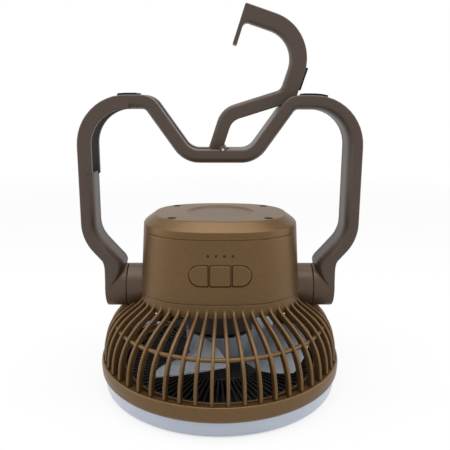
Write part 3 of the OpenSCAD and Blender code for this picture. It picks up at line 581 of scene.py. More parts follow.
def arc(before: Vector, corner: Vector, after: Vector, radius: float, steps: int) -> list[Vector]:
    """Rounds one corner.

    Args:
        before: A point on the way to the corner.
        corner: The corner.
        after: A point on the way from the corner.
        radius: The radius of the arc.
        steps: The number of stretches of the arc.

    Returns:
        The points of the arc.
    """
    to_start, to_end = (before - corner).normalized(), (after - corner).normalized()
    half = math.acos(max(-1.0, min(1.0, to_start.dot(to_end)))) / 2
    middle = corner + (to_start + to_end).normalized() * radius / math.sin(half)
    first = corner + to_start * radius / math.tan(half) - middle
    last = corner + to_end * radius / math.tan(half) - middle
    start = math.atan2(first.y, first.x)
    turn = (math.atan2(last.y, last.x) - start + 3 * math.pi) % (2 * math.pi) - math.pi
    return [middle + radius * Vector((math.cos(start + turn * i / steps), math.sin(start + turn * i / steps)))
            for i in range(steps + 1)]


class Outline:
    """A counter-clockwise outline with rounded corners."""

    def __init__(self, corners: Sequence[Sequence[float]], step: float = 7.0) -> None:
        """Keeps the corners.

        Args:
            corners: The corners as x, z and, where it is rounded, radius, counter-clockwise.
            step: The angle in degrees that one stretch of a rounded corner turns.
        """
        self.corners = [Corner(*corner) for corner in corners]
        self.count = len(self.corners)
        self.steps = [max(2, math.ceil(abs(self._turn(i)) / step)) for i in range(self.count)]

    def _ways(self, i: int) -> tuple[Vector, Vector]:
        """The directions into and out of corner i."""
        here, after = self.corners[i].at, self.corners[(i + 1) % self.count].at
        return (here - self.corners[i - 1].at).normalized(), (after - here).normalized()

    def _turn(self, i: int) -> float:
        """The angle in degrees that the outline turns at corner i, positive to the left."""
        a, b = self._ways(i)
        return math.degrees(math.atan2(a.x * b.y - a.y * b.x, a.dot(b)))

    def inset(self, amounts: Sequence[float]) -> list[Corner]:
        """Moves each side inwards.

        Args:
            amounts: The distance for the side that starts at each corner.

        Returns:
            The corners of the smaller outline.
        """
        moved = []
        for i, corner in enumerate(self.corners):
            a, b = self._ways(i)
            first, second = amounts[i - 1], amounts[i]
            n0, n1 = Vector((-a.y, a.x)), Vector((-b.y, b.x))
            det = n0.x * n1.y - n0.y * n1.x
            if abs(det) < 1e-5:
                shift = n0 * (first + second) / 2
            else:
                shift = Vector((n1.y * first - n0.y * second, n0.x * second - n1.x * first)) / det
            side = 1 if self._turn(i) > 0 else -1
            radius = max(0.05, corner.r - side * (first + second) / 2) if corner.r else 0.0
            moved.append(Corner(corner.x + shift.x, corner.z + shift.y, radius))
        return moved

    def points(self, amounts: Sequence[float] | None = None) -> list[Vector]:
        """Points of the outline.

        Args:
            amounts: How far each side is moved inwards.

        Returns:
            The points, as many for any amounts.
        """
        corners = self.inset(amounts) if amounts else self.corners
        result: list[Vector] = []
        for i, corner in enumerate(corners):
            if corner.r <= 0:
                result.append(corner.at)
                continue
            after = corners[(i + 1) % self.count].at
            result.extend(arc(corners[i - 1].at, corner.at, after, corner.r, self.steps[i]))
        return result

    def shares(self, values: Sequence[float]) -> list[float]:
        """A value of each side, as it passes from one side to the next at each point.

        Args:
            values: The value for the side that starts at each corner.

        Returns:
            The value at each of the outline's points.
        """
        result: list[float] = []
        for i, corner in enumerate(self.corners):
            before, after, steps = values[i - 1], values[i], self.steps[i]
            if corner.r <= 0:
                result.append((before + after) / 2)
            else:
                result.extend(before + (after - before) * k / steps for k in range(steps + 1))
        return result


def pillow(outline: Outline, low: float, high: float, edges: float | Sequence[float], steps: int = 5) -> Skin:
    """A plate in the XZ plane with rounded edges.

    Args:
        outline: The plate's outline.
        low: The depth of its front face.
        high: The depth of its rear face.
        edges: The rounding of the edges, one for all sides or one for each side.
        steps: The number of stretches of a rounding.

    Returns:
        The plate's skin.
    """
    sides = [edges] * outline.count if isinstance(edges, float) else edges
    shares = outline.shares(sides)
    rings = []
    for face, way, order in ((low, 1, range(steps + 1)), (high, -1, range(steps, -1, -1))):
        for k in order:
            angle = math.pi / 2 * k / steps
            points = outline.points([value * (1 - math.sin(angle)) for value in sides])
            rings.append([(p.x, face + way * share * (1 - math.cos(angle)), p.y)
                          for p, share in zip(points, shares)])
    return Skin().stack(rings)


class Axis(Enum):
    """The axis that a turned piece turns about, as the order of cosine (0), sine (1) and height (2)."""

    X = (2, 0, 1)
    Y = (0, 2, 1)
    Z = (0, 1, 2)


def turned(profile: Sequence[Sequence[float]], axis: Axis = Axis.Z, centre: Solid = (0.0, 0.0, 0.0),
           segments: int = 96, step: float = 15.0) -> Skin:
    """A turned piece.

    Args:
        profile: The closed profile's corners, as radius, height and, where it is rounded, rounding.
        axis: The axis that it turns about.
        centre: A point on the axis.
        segments: The number of stretches round the axis.
        step: The angle in degrees that one stretch of a rounded corner turns.

    Returns:
        The piece's skin.
    """
    outline = Outline(profile, step).points()
    rings = []
    for i in range(segments):
        c, s = math.cos(2 * math.pi * i / segments), math.sin(2 * math.pi * i / segments)
        rings.append([[(p.x * c, p.x * s, p.y)[k] for k in axis.value] for p in outline])
    return Skin().stack(rings, loop=True).mapped(lambda p: p + Vector(centre))


@dataclass(frozen=True)
class Plan:
    """A rounded plan: an oval whose power of 2 is an ellipse."""

    a: float
    b: float
    power: float = 2.45

    def _bent(self, part: float) -> float:
        """A cosine or a sine, bent to the plan's power."""
        return math.copysign(abs(part) ** (2 / self.power), part)

    def ring(self, z: float) -> list[Solid]:
        """Points of the plan at a height, from the right and counter-clockwise."""
        turns = [2 * math.pi * i / PLAN_POINTS for i in range(PLAN_POINTS)]
        return [(self.a * self._bent(math.cos(t)), self.b * self._bent(math.sin(t)), z) for t in turns]

    def inner(self, wall: float) -> Plan:
        """The plan inside a wall."""
        return replace(self, a=self.a - wall, b=self.b - wall)

    def front(self, x: float) -> float:
        """The depth of the front at x, as a positive distance."""
        return self.b * (1 - min(1.0, abs(x) / self.a) ** self.power) ** (1 / self.power)

    def reach(self, angle: float) -> float:
        """The distance of the outline at an angle from the front, in radians."""
        across, along = abs(math.sin(angle) / self.a), abs(math.cos(angle) / self.b)
        return (across ** self.power + along ** self.power) ** (-1 / self.power)


# ---------------------------------------------------------------- sub-assemblies


@dataclass
class Group:
    """A sub-assembly, which mounts its pieces on the bodies of the frame."""

    nodes: dict[str, bpy.types.Object]

    def mount(self, skin: Skin, name: str, finish: Finish, body: str, node: str,
              cutters: Sequence[Skin] = (), sharp: float = SHARP) -> None:
        """Makes a piece and puts it on a body.

        Args:
            skin: The piece's skin.
            name: The piece's name.
            finish: Its finish.
            body: The body that it rides on.
            node: The solid that it stands for.
            cutters: The skins of what is cut out of it.
            sharp: The angle in degrees above which an edge looks sharp.
        """
        thing = skin.object(name, finish, sharp)
        if cutters:
            carve(thing, [cutter.object("cutter", finish) for cutter in cutters], sharp)
        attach(thing, body)
        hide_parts(node)
        LOG.info("%s rides on %s and stands for %s", name, body, node)

    def dress(self, finish: Finish, *names: str) -> None:
        """Gives solids of the frame a finish.

        Args:
            finish: The finish.
            names: The solids' names.
        """
        for name in names:
            for place in self.nodes[name].material_slots:
                place.material = finish.material()
            LOG.info("%s is finished as %s", name, finish.label)


@dataclass
class LightRing(Group):
    """The milky ring that the fan rests on, and the rim band above it."""

    outer: float = 83.0
    height: float = 10.8
    width: float = 13.0
    wall: float = 1.6
    rim_height: float = 10.7
    bulge: float = 2.2
    duct: float = 68.0
    lining: float = 1.8
    lining_top: float = 16.0

    def build(self) -> None:
        """Builds the ring and the rim, and finishes the boards inside."""
        outer, height, wall, duct = self.outer, self.height, self.wall, self.duct
        inner, edge, side = outer - self.width, outer + self.bulge, duct + self.lining
        top = height + self.rim_height
        ring = turned([(inner, 0, 1.4), (outer - 0.7, 0, 3.4), (outer, height), (outer - wall, height),
                       (outer - wall, wall, 1.4), (inner + wall, wall, 0.8), (inner + wall, height),
                       (inner, height)], segments=180, step=9.0)
        self.mount(ring, "light_ring", MILKY, "head", "light_diffuser")
        rim = turned([(duct, 1, 0.4), (side, 1, 0.4), (side, height), (outer + 0.4, height, 0.5),
                      (edge - 0.35, height + 1.6, 2.2), (edge, top - 3.2, 6.0), (edge - 0.55, top, 0.9),
                      (edge - 1.7, top, 0.3), (edge - 1.5, height + 2.4), (side, height + 1.8),
                      (side, self.lining_top, 0.7), (duct, self.lining_top, 0.7), (duct, 9), (duct - 1.6, 9),
                      (duct - 1.6, 7.8), (duct, 6.2)], segments=180, step=12.0)
        self.mount(rim, "rim_band", BROWN, "head", "rim_ring")
        self.dress(WHITE_BOARD, "led_board")
        self.dress(CHIP, "led_chips")


@dataclass
class Grille(Group):
    """The black outlet grille, with straight slats between a dish and a ring."""

    reach: float = 67.8
    dish: float = 34.0
    floor: float = 9.0
    height: float = 4.5
    slats: int = 90
    thickness: float = 1.15

    def slat(self, turn: float) -> Skin:
        """One slat with rounded upper and lower edges.

        Args:
            turn: Its angle round the axis, in radians.

        Returns:
            The slat's skin.
        """
        half, low, high = self.thickness / 2, self.floor + 0.4, self.floor + self.height - 0.8
        section = [(-half, low + 0.4), (-half * 0.5, low), (half * 0.5, low), (half, low + 0.4),
                   (half, high - 0.4), (half * 0.5, high), (-half * 0.5, high), (-half, high - 0.4)]
        way = Vector((math.cos(turn), math.sin(turn)))
        rings = []
        for k in range(5):
            at = way * (self.dish - 1 + (self.reach - self.dish) * k / 4)
            rings.append([(at.x - way.y * u, at.y + way.x * u, z) for u, z in section])
        return Skin().stack(rings)

    def build(self) -> None:
        """Builds the grille."""
        reach, dish, floor, top = self.reach, self.dish, self.floor, self.floor + self.height
        skin = Skin().joined(*(self.slat(2 * math.pi * i / self.slats) for i in range(self.slats)))
        skin.joined(turned([(reach - 2, floor, 0.4), (reach, floor, 0.4), (reach, top, 0.5),
                            (reach - 2, top, 0.5)], segments=144))
        skin.joined(turned([(0, top - 2.0), (dish - 1.6, top - 2.0, 0.6), (dish - 1.6, floor, 0.3),
                            (dish, floor, 0.3), (dish, top - 0.4, 1.2), (0, top - 0.4)], segments=120))
        self.mount(skin, "outlet_grille", BLACK, "head", "front_grille")


@dataclass
class Cage(Group):
    """The rear cage: an oval collar, curved ribs, an inner hoop and the ring that they stand on."""

    collar: Plan = Plan(55.6, 41.8)
    collar_z: float = 63.0
    collar_height: float = 6.0
    collar_drop: float = 3.4
    wall: float = 2.4
    ribs: int = 52
    stretches: int = 26
    thickness: float = 2.2
    depth: float = 4.6
    foot: float = 83.3
    rim_top: float = 21.5
    base_low: float = 12.6
    base_top: float = 20.8
    warp: float = 4.3
    hoop: Flat = (74.0, 71.5)
    hoop_z: float = 45.5
    wire: float = 1.5
    seat: Flat = (21.2, 23.4)
    seat_z: Flat = (39.9, 64.2)
    saddle_r: Flat = (15.1, 18.1)
    saddle_x: Flat = (47.9, 52.0)

    def edge(self, t: float, span: float) -> tuple[Vector, Vector]:
        """A rib's outer edge.

        Args:
            t: The place along the edge, from the collar (0) to the rim (1).
            span: The level distance from the collar to the rib's foot.

        Returns:
            The point, as distance from the collar and height, and the direction of the edge there.
        """
        u = 1 - t
        h0, h1, h2, h3 = self.collar_z + 3, self.collar_z - 4.5, self.collar_z - 5.5, self.rim_top
        at = Vector(((3 * u * t * t + t ** 3) * span,
                     u ** 3 * h0 + 3 * u * u * t * h1 + 3 * u * t * t * h2 + t ** 3 * h3))
        way = Vector((6 * u * t * span,
                      3 * u * u * (h1 - h0) + 6 * u * t * (h2 - h1) + 3 * t * t * (h3 - h2)))
        return at, way.normalized()

    def rib(self, turn: float) -> Skin:
        """One rib with a rounded outer edge.

        Args:
            turn: The angle of its foot from the front, in radians.

        Returns:
            The rib's skin.
        """
        top = turn + math.radians(self.warp) * math.sin(2 * turn)
        start = Vector((math.sin(top), -math.cos(top))) * self.collar.reach(top)
        foot = Vector((math.sin(turn), -math.cos(turn))) * self.foot
        out = (foot - start).normalized()
        side = Vector((-out.y, out.x))
        half, depth = self.thickness / 2, self.depth
        bend = min(0.95, half * 0.8)
        flank = ((half, depth - 0.5), (half, bend), (half * 0.86, bend * 0.38), (half * 0.5, 0.06))
        section = [(-u, v) for u, v in flank] + [(0.0, -0.06), *reversed(flank), (half * 0.6, depth),
                                                 (-half * 0.6, depth)]
        rings = []
        for i in range(self.stretches + 1):
            at, way = self.edge(i / self.stretches, (foot - start).length)
            ring = []
            for u, v in section:
                level = at.x + way.y * v
                height = at.y - way.x * v if i < self.stretches else self.base_top - 0.6
                ring.append((start.x + out.x * level + side.x * u, start.y + out.y * level + side.y * u,
                             height))
            rings.append(ring)
        return Skin().stack(rings)

    def ring_hoop(self) -> Skin:
        """The oval hoop of round wire inside the ribs.

        Returns:
            The hoop's skin.
        """
        a, b = self.hoop
        rings = []
        for i in range(180):
            across, along = a * math.cos(2 * math.pi * i / 180), b * math.sin(2 * math.pi * i / 180)
            out = Vector((across / a ** 2, along / b ** 2)).normalized()
            section = []
            for k in range(14):
                level, rise = (self.wire * part(2 * math.pi * k / 14) for part in (math.cos, math.sin))
                section.append((across + out.x * level, along + out.y * level, self.hoop_z + rise))
            rings.append(section)
        return Skin().stack(rings, loop=True)

    def saddle(self) -> Skin:
        """The half-round seat under the right hinge hub.

        Returns:
            The seat's skin.
        """
        (inner, outer), (x0, x1) = self.saddle_r, self.saddle_x
        profile = ((x0, inner), (x1, inner), (x1, outer - 1.6), (x1 - 0.5, outer - 0.5), (x1 - 1.6, outer),
                   (x0, outer))
        rings = []
        for i in range(33):
            c, s = math.cos(math.pi + math.pi * i / 32), math.sin(math.pi + math.pi * i / 32)
            rings.append([(x, r * c, HINGE_Z + min(-1.0, r * s)) for x, r in profile])
        return Skin().stack(rings)

    def build(self) -> None:
        """Builds the collar, the ribs, the hoop, the ring below and the seats of motor and hinges."""
        wide, low, high = self.collar, self.collar_z - self.collar_drop, self.collar_z + self.collar_height
        rows = ((self.wall, low), (0.9, low), (0.25, low + 0.3), (0.0, low + 0.9), (0.0, high - 0.5),
                (0.15, high - 0.2), (0.45, high), (self.wall, high))
        collar = Skin().stack([wide.inner(wall).ring(z) for wall, z in rows], loop=True)
        floor = wide.inner(self.wall - 0.2)
        collar.joined(Skin().stack([floor.ring(self.collar_z + 1), floor.ring(self.collar_z + 3)]))
        turns = [(i + 0.5) * 2 * math.pi / self.ribs for i in range(self.ribs)]
        skirt, top = self.foot + 0.2, self.base_top
        inset = skirt - 1.6
        base = turned([(inset, self.base_low), (skirt, self.base_low), (skirt, top, 0.5),
                       (skirt - 5, top, 0.9), (skirt - 5, top - 2, 0.5), (inset, top - 2)], segments=180)
        (inner, outer), (foot, head) = self.seat, self.seat_z
        seat = turned([(inner, foot, 0.5), (outer, foot, 0.6), (outer, head), (inner, head)])
        self.mount(collar, "cage_collar", BROWN, "head", "rear_cage")
        ribs = Skin().joined(*map(self.rib, turns))
        self.mount(ribs, "cage_ribs", BROWN, "head", "rear_cage", sharp=50.0)
        self.mount(self.ring_hoop(), "cage_hoop", BROWN, "head", "rear_cage", sharp=60.0)
        self.mount(base, "cage_base", BROWN, "head", "rear_cage")
        # The seat tube's dark colour is painted shade.
        self.mount(seat, "motor_seat_tube", PAINTED_SHADE_SEAT, "head", "rear_cage")
        for side, label in SIDES:
            self.mount(self.saddle().mirrored(side), f"hinge_saddle_{label}", BROWN, "head", "rear_cage")


@dataclass
class Housing(Group):
    """The oval housing between its two seams, and the cover with its dish and plugs."""

    lower: Plan = Plan(55.6, 41.8)
    upper: Plan = Plan(52.9, 41.4)
    low: float = 69.0
    high: float = 112.2
    wall: float = 2.4
    slope_plan: Plan = Plan(52.57, 41.35)
    top_plan: Plan = Plan(44.77, 33.55)
    slope_z: float = 117.5
    top: float = 122.7
    floor: float = 3.4
    dish: float = 23.0
    dish_depth: float = 1.1
    plug_x: float = 31.9
    plug_y: float = 22.1
    plug: float = 2.75

    def plan(self, z: float) -> Plan:
        """The outer plan at a height."""
        k, low, high = (z - self.low) / (self.high - self.low), self.lower, self.upper
        return Plan(low.a + k * (high.a - low.a), low.b + k * (high.b - low.b))

    def shell(self) -> Skin:
        """The wall between the seams, with a fine groove at each seam.

        Returns:
            The wall's skin.
        """
        rows = [(self.low, 0.55), (self.low + 0.25, 0.2), (self.low + 0.6, 0.0)]
        rows += [(72.0 + 1.5 * k, 0.0) for k in range(26)]
        rows += [(self.high - 0.6, 0.0), (self.high - 0.25, 0.15), (self.high, 0.45)]
        rows += [(z, self.wall) for z in (self.high, 91, self.low)]
        return Skin().stack([self.plan(z).inner(inset).ring(z) for z, inset in rows], loop=True)

    def cover(self) -> Skin:
        """The cover: an upright band, a sloped edge, the flat top and its dish.

        Returns:
            The cover's skin.
        """
        z, upper, slope, plan, top, edge = (self.high, self.upper, self.slope_plan, self.top_plan, self.top,
                                            self.slope_z - 0.7)
        rings = [upper.inner(self.wall).ring(z), upper.inner(0.45).ring(z), upper.inner(0.15).ring(z + 0.2),
                 upper.ring(z + 0.55), slope.ring(edge)]
        rings += [slope.inner(0.05 + 0.27 * k).ring(edge + 0.33 * k - 0.015 * k * k) for k in range(1, 5)]
        lip = ((-0.75, 0.45), (-0.2, 0.14), (0.5, 0.0))
        rings += [plan.inner(wall).ring(top - drop) for wall, drop in lip]
        rim = Plan(self.dish + 1.2, self.dish + 1.2, 2.0).ring(top)
        for share in (0.5, 0.25):
            rings.append([((p[0] - c[0]) * share + c[0], (p[1] - c[1]) * share + c[1], top)
                          for p, c in zip(plan.ring(top), rim)])
        dish, deep = self.dish, self.dish_depth
        for radius, drop in ((dish + 1.2, 0.0), (dish + 0.6, 0.1), (dish, 0.35), (dish - 0.8, 0.8),
                             (dish - 1.6, deep - 0.08), (dish - 2.6, deep), (12, deep), (3, deep), (0, deep),
                             (0, self.floor)):
            rings.append(Plan(radius, radius, 2.0).ring(top - drop))
        rings += [plan.inner(1.4).ring(top - self.floor), slope.inner(self.wall).ring(self.slope_z - 0.5)]
        return Skin().stack(rings, loop=True)

    def build(self, panel: ButtonPanel) -> None:
        """Builds the housing, the cover and its plugs.

        Args:
            panel: The buttons that the housing has openings for.
        """
        cutters = [pillow(panel.outline(place, 0.55), -60, -34, 0.0) for place in Place]
        hole = panel.dot + 0.12
        for x in panel.dots():
            cutters.append(turned([(0, -60), (hole, -60), (hole, -36), (0, -36)], Axis.Y,
                                  (x, 0, panel.dot_z), 32))
        self.mount(self.shell(), "housing_wall", BROWN, "head", "housing_shell", cutters)
        top, plug, bore = self.top, self.plug, self.plug + 0.25
        spots = [(x, y, 0) for x in (-self.plug_x, self.plug_x) for y in (-self.plug_y, self.plug_y)]
        holes = [turned([(0, top - 1.6), (bore, top - 1.6), (bore, top + 4), (0, top + 4)], centre=spot,
                        segments=40) for spot in spots]
        self.mount(self.cover(), "cover", BROWN, "head", "top_cover", holes)
        profile = [(0, top - 2.6), (plug, top - 2.6), (plug, top + 0.1, 0.5), (plug - 0.9, top + 0.2, 0.4),
                   (1.0, top + 0.05, 0.3), (0, top + 0.05)]
        plugs = Skin().joined(*(turned(profile, centre=spot, segments=40) for spot in spots))
        self.mount(plugs, "cover_plugs_soft", RUBBER, "head", "cover_plugs")
        self.dress(STEEL, "cover_screws", "usb_c_port", "board_screws")
        self.dress(GREEN_BOARD, "control_board", "power_board")
        self.dress(BLACK, "tact_switches", "battery_holder")
        self.dress(CELL, "battery_cells")


class Place(Enum):
    """The place of a button in the row."""

    LEFT = -1
    CENTER = 0
    RIGHT = 1


@dataclass
class ButtonPanel(Group):
    """Three buttons that form one pill, and the row of indicator dots above them."""

    height: float = 13.7
    middle: float = 13.2
    end: float = 12.1
    gap: float = 1.3
    cut: float = 0.7
    z: float = 88.7
    proud: float = 0.5
    edge: float = 0.75
    dot: float = 0.8
    dot_z: float = 102.0
    pitch: float = 5.3

    def dots(self) -> list[float]:
        """Places of the dots along the front."""
        return [(i - 1.5) * self.pitch for i in range(4)]

    def outline(self, place: Place, grow: float) -> Outline:
        """The outline of a button.

        Args:
            place: Which button.
            grow: How far the outline is grown.

        Returns:
            The outline, with eight corners.
        """
        half, cut = self.height / 2 + grow, self.cut
        low, high = self.z - half, self.z + half
        if place is Place.CENTER:
            w = self.middle / 2 + grow
            places = ((-w + cut, low), (w - cut, low), (w, low + cut), (w, high - cut),
                      (w - cut, high), (-w + cut, high), (-w, high - cut), (-w, low + cut))
            return Outline([(x, z, 0.3) for x, z in places])
        near = self.middle / 2 + self.gap - grow
        far = self.middle / 2 + self.gap + self.end + grow
        bend = half - 0.02
        corners = [(near + cut, low, 0.3), (near + 3, low, 0.0), (far, low, bend), (far, high, bend),
                   (near + 3, high, 0.0), (near + cut, high, 0.3), (near, high - cut, 0.3),
                   (near, low + cut, 0.3)]
        if place is Place.LEFT:
            corners = [(-x, z, r) for x, z, r in reversed(corners)]
        return Outline(corners)

    def button(self, place: Place, housing: Housing) -> Skin:
        """A button whose face follows the housing's front and whose edge is rounded.

        Args:
            place: Which button.
            housing: The housing.

        Returns:
            The button's skin.
        """
        outline = self.outline(place, 0.0)
        rows = [(outline.points(), lift) for lift in (-2.6, -0.2)]
        for k in range(1, 5):
            angle = math.pi / 2 * k / 4
            points = outline.points([self.edge * (1 - math.cos(angle))] * 8)
            rows.append((points, -0.2 + (self.proud + 0.2) * math.sin(angle)))
        rim = outline.points([self.edge] * 8)
        middle = sum(rim, Vector((0, 0))) / len(rim)
        for share in (0.85, 0.7, 0.55, 0.4, 0.25, 0.12):
            rows.append(([middle + (p - middle) * share for p in rim], self.proud))
        return Skin().stack([[(p.x, -(housing.plan(p.y).front(p.x) + lift), p.y) for p in points]
                             for points, lift in rows])

    def build(self, housing: Housing) -> None:
        """Builds the buttons and the dots.

        Args:
            housing: The housing that they sit in.
        """
        for place in Place:
            name = f"button_{place.name.lower()}"
            far = self.middle / 2 + self.gap + (self.end if place.value else 0)
            back = -housing.plan(self.z).front(far)
            flange = pillow(self.outline(place, 0.6), back + 2.0, back + 3.4, 0.2, 2)
            self.mount(self.button(place, housing).joined(flange), f"push_{name}", BROWN, name, name)
        lenses = Skin()
        dot = self.dot
        for x in self.dots():
            face = -(housing.plan(self.dot_z).front(x)) + 0.35
            profile = [(0, face), (dot * 0.7, face + 0.06, 0.1), (dot, face + 0.3, 0.1), (dot, face + 4),
                       (0, face + 4)]
            lenses.joined(turned(profile, Axis.Y, (x, 0, self.dot_z), 32))
        self.mount(lenses, "indicator_dots", LENS, "head", "indicator_lenses")
        self.dress(CHIP, "indicator_leds")


@dataclass
class FanUnit(Group):
    """The blades on their cup, and the motor."""

    blades: int = 4
    hub: float = 24.5
    hub_low: float = 20.5
    hub_high: float = 38.3
    tip: float = 65.0
    rise: float = 18.2
    tip_lift: float = 1.7
    tip_fall: float = 2.9
    lead: float = 35.5
    lead_turn: float = 13.0
    lead_straight: float = 42.0
    trail: float = 60.0
    trail_turn: float = 35.5
    trail_reach: float = 11.0
    thickness: float = 1.8
    across: int = 22
    along: int = 26

    def blade(self, turn: float) -> Skin:
        """One twisted, cambered blade with a rounded leading corner.

        Args:
            turn: How far the blade is turned on from the one at the front right, in degrees.

        Returns:
            The blade's skin.
        """
        root = self.hub - 1.4
        rings = []
        for i in range(self.along + 1):
            share = i / self.along
            radius = root + (self.tip - root) * share
            outer = max(0.0, (radius - self.lead_straight) / (self.tip - self.lead_straight))
            low = self.lead + self.lead_turn * outer ** 1.6
            high = self.trail + self.trail_turn * (1 - math.exp(-(radius - self.hub) / self.trail_reach))
            foot, rise = self.hub_low + 0.3 + self.tip_lift * outer ** 1.5, self.rise - self.tip_fall * outer
            pitch = math.atan2(rise, math.radians(high - low) * radius)
            under, over = [], []
            for k in range(self.across + 1):
                chord = k / self.across
                angle = math.radians(low + (high - low) * chord - 90 + turn)
                height = foot + rise * (1 - (1 - chord) ** (1 + 0.4 * share))
                thick = self.thickness * (1 - 0.35 * share) * (0.5 + 0.5 * math.sin(math.pi * chord) ** 0.6)
                way = Vector((-math.sin(angle), math.cos(angle)))
                at = Vector((math.cos(angle), math.sin(angle))) * radius
                aside, up = -math.sin(pitch) * thick / 2, math.cos(pitch) * thick / 2
                under.append((at.x - way.x * aside, at.y - way.y * aside, height - up))
                over.append((at.x + way.x * aside, at.y + way.y * aside, height + up))
            rings.append(under + over[::-1])
        return Skin().stack(rings)

    def build(self) -> None:
        """Builds the blades and the cup, and finishes the motor."""
        hub, low, high = self.hub, self.hub_low, self.hub_high
        inner = hub - 2
        cup = turned([(0, low), (hub - 1.2, low, 1.6), (hub, low + 4.0, 2.0), (hub, high, 0.4),
                      (inner, high, 0.4), (inner, low + 2, 1.0), (5.4, low + 2, 1.0), (5.0, high - 1, 0.5),
                      (0, high - 1)], segments=120, step=10.0)
        cup.joined(*(self.blade(360 * i / self.blades) for i in range(self.blades)))
        self.mount(cup, "blade_wheel", PALE, "fan", "fan_blades", sharp=40.0)
        cap = turned([(0, low - 2), (4.6, low - 2, 1.2), (6, low, 0.3), (0, low)], segments=48)
        self.mount(cap, "wheel_cap", PALE, "fan", "blade_cap")
        self.dress(BLACK, "motor_can", "motor_end_cap")
        self.dress(MAGNET, "motor_magnets")
        self.dress(COPPER, "motor_rotor")
        self.dress(STEEL, "motor_shaft", "motor_bearings", "motor_screws")


@dataclass
class Hinges(Group):
    """The fixed hubs on the head, and the caps over the hinge bolts."""

    inner: float = 49.4
    split: float = 64.6
    bore: float = 2.6
    cap: float = 10.8

    def build(self) -> None:
        """Builds the hubs and the caps, and finishes the fasteners inside."""
        bore, inner, split, centre = self.bore, self.inner, self.split, (0, 0, HINGE_Z)
        cap, out = self.cap, HINGE_OUT
        hub_profile = [(bore, inner), (HINGE_R - 0.6, inner, 0.3), (HINGE_R, inner + 1.0, 0.4),
                       (HINGE_R, split, 0.5), (bore, split)]
        cap_profile = [(0, out - 1), (cap, out - 1), (cap, out - 0.1, 0.4), (cap - 1.4, out, 0.5),
                       (3.0, out + 0.05, 0.5), (0, out + 0.05)]
        for side, label in SIDES:
            hub = turned(hub_profile, Axis.X, centre, 120).mirrored(side)
            self.mount(hub, f"hub_{label}", HINGE_BROWN, "head", f"hinge_hub_{label}")
            lid = turned(cap_profile, Axis.X, centre).mirrored(side)
            self.mount(lid, f"hub_cap_{label}", HINGE_BROWN, "stand", f"hinge_cap_{label}")
        self.dress(STEEL, "hinge_bolts", "hinge_nuts", "spring_washers")
        self.dress(NYLON, "friction_washers")


class Cut(Enum):
    """What the hook's storage takes out of a stretch of the stand."""

    NONE = "none"
    SLOT = "slot"
    WINDOW = "window"


@dataclass(frozen=True)
class Station:
    """A cross-section of the stand, from the inner to the outer side of its loop."""

    inner: Vector
    outer: Vector
    front: float = -14.0
    soft: float = 4.8
    soft_depth: float = 8.0

    def mirrored(self) -> Station:
        """The station on the other side."""
        inner, outer = (Vector((-at.x, at.y)) for at in (self.inner, self.outer))
        return replace(self, inner=inner, outer=outer)

    def section(self, low: float, high: float, soft: Sequence[float], deep: Sequence[float]) -> list[Solid]:
        """Points of a cross-section with rounded corners.

        Args:
            low: The depth of its front.
            high: The depth of its rear.
            soft: The rounding across at inner front, outer front, outer rear and inner rear.
            deep: The rounding in depth at the same corners.

        Returns:
            The points.
        """
        span = (self.outer - self.inner).length
        way = (self.outer - self.inner) / span
        steps = 5
        result = []
        for place, (across, depth) in enumerate(zip(soft, deep)):
            for k in range(steps + 1):
                turn = math.pi / 2 * k / steps
                a, b = math.cos(turn), math.sin(turn)
                if place % 2:
                    a, b = b, a
                u = span - across * (1 - a) if place in (1, 2) else across * (1 - a)
                y = high - depth * (1 - b) if place > 1 else low + depth * (1 - b)
                result.append((self.inner.x + way.x * u, y, self.inner.y + way.y * u))
        return result


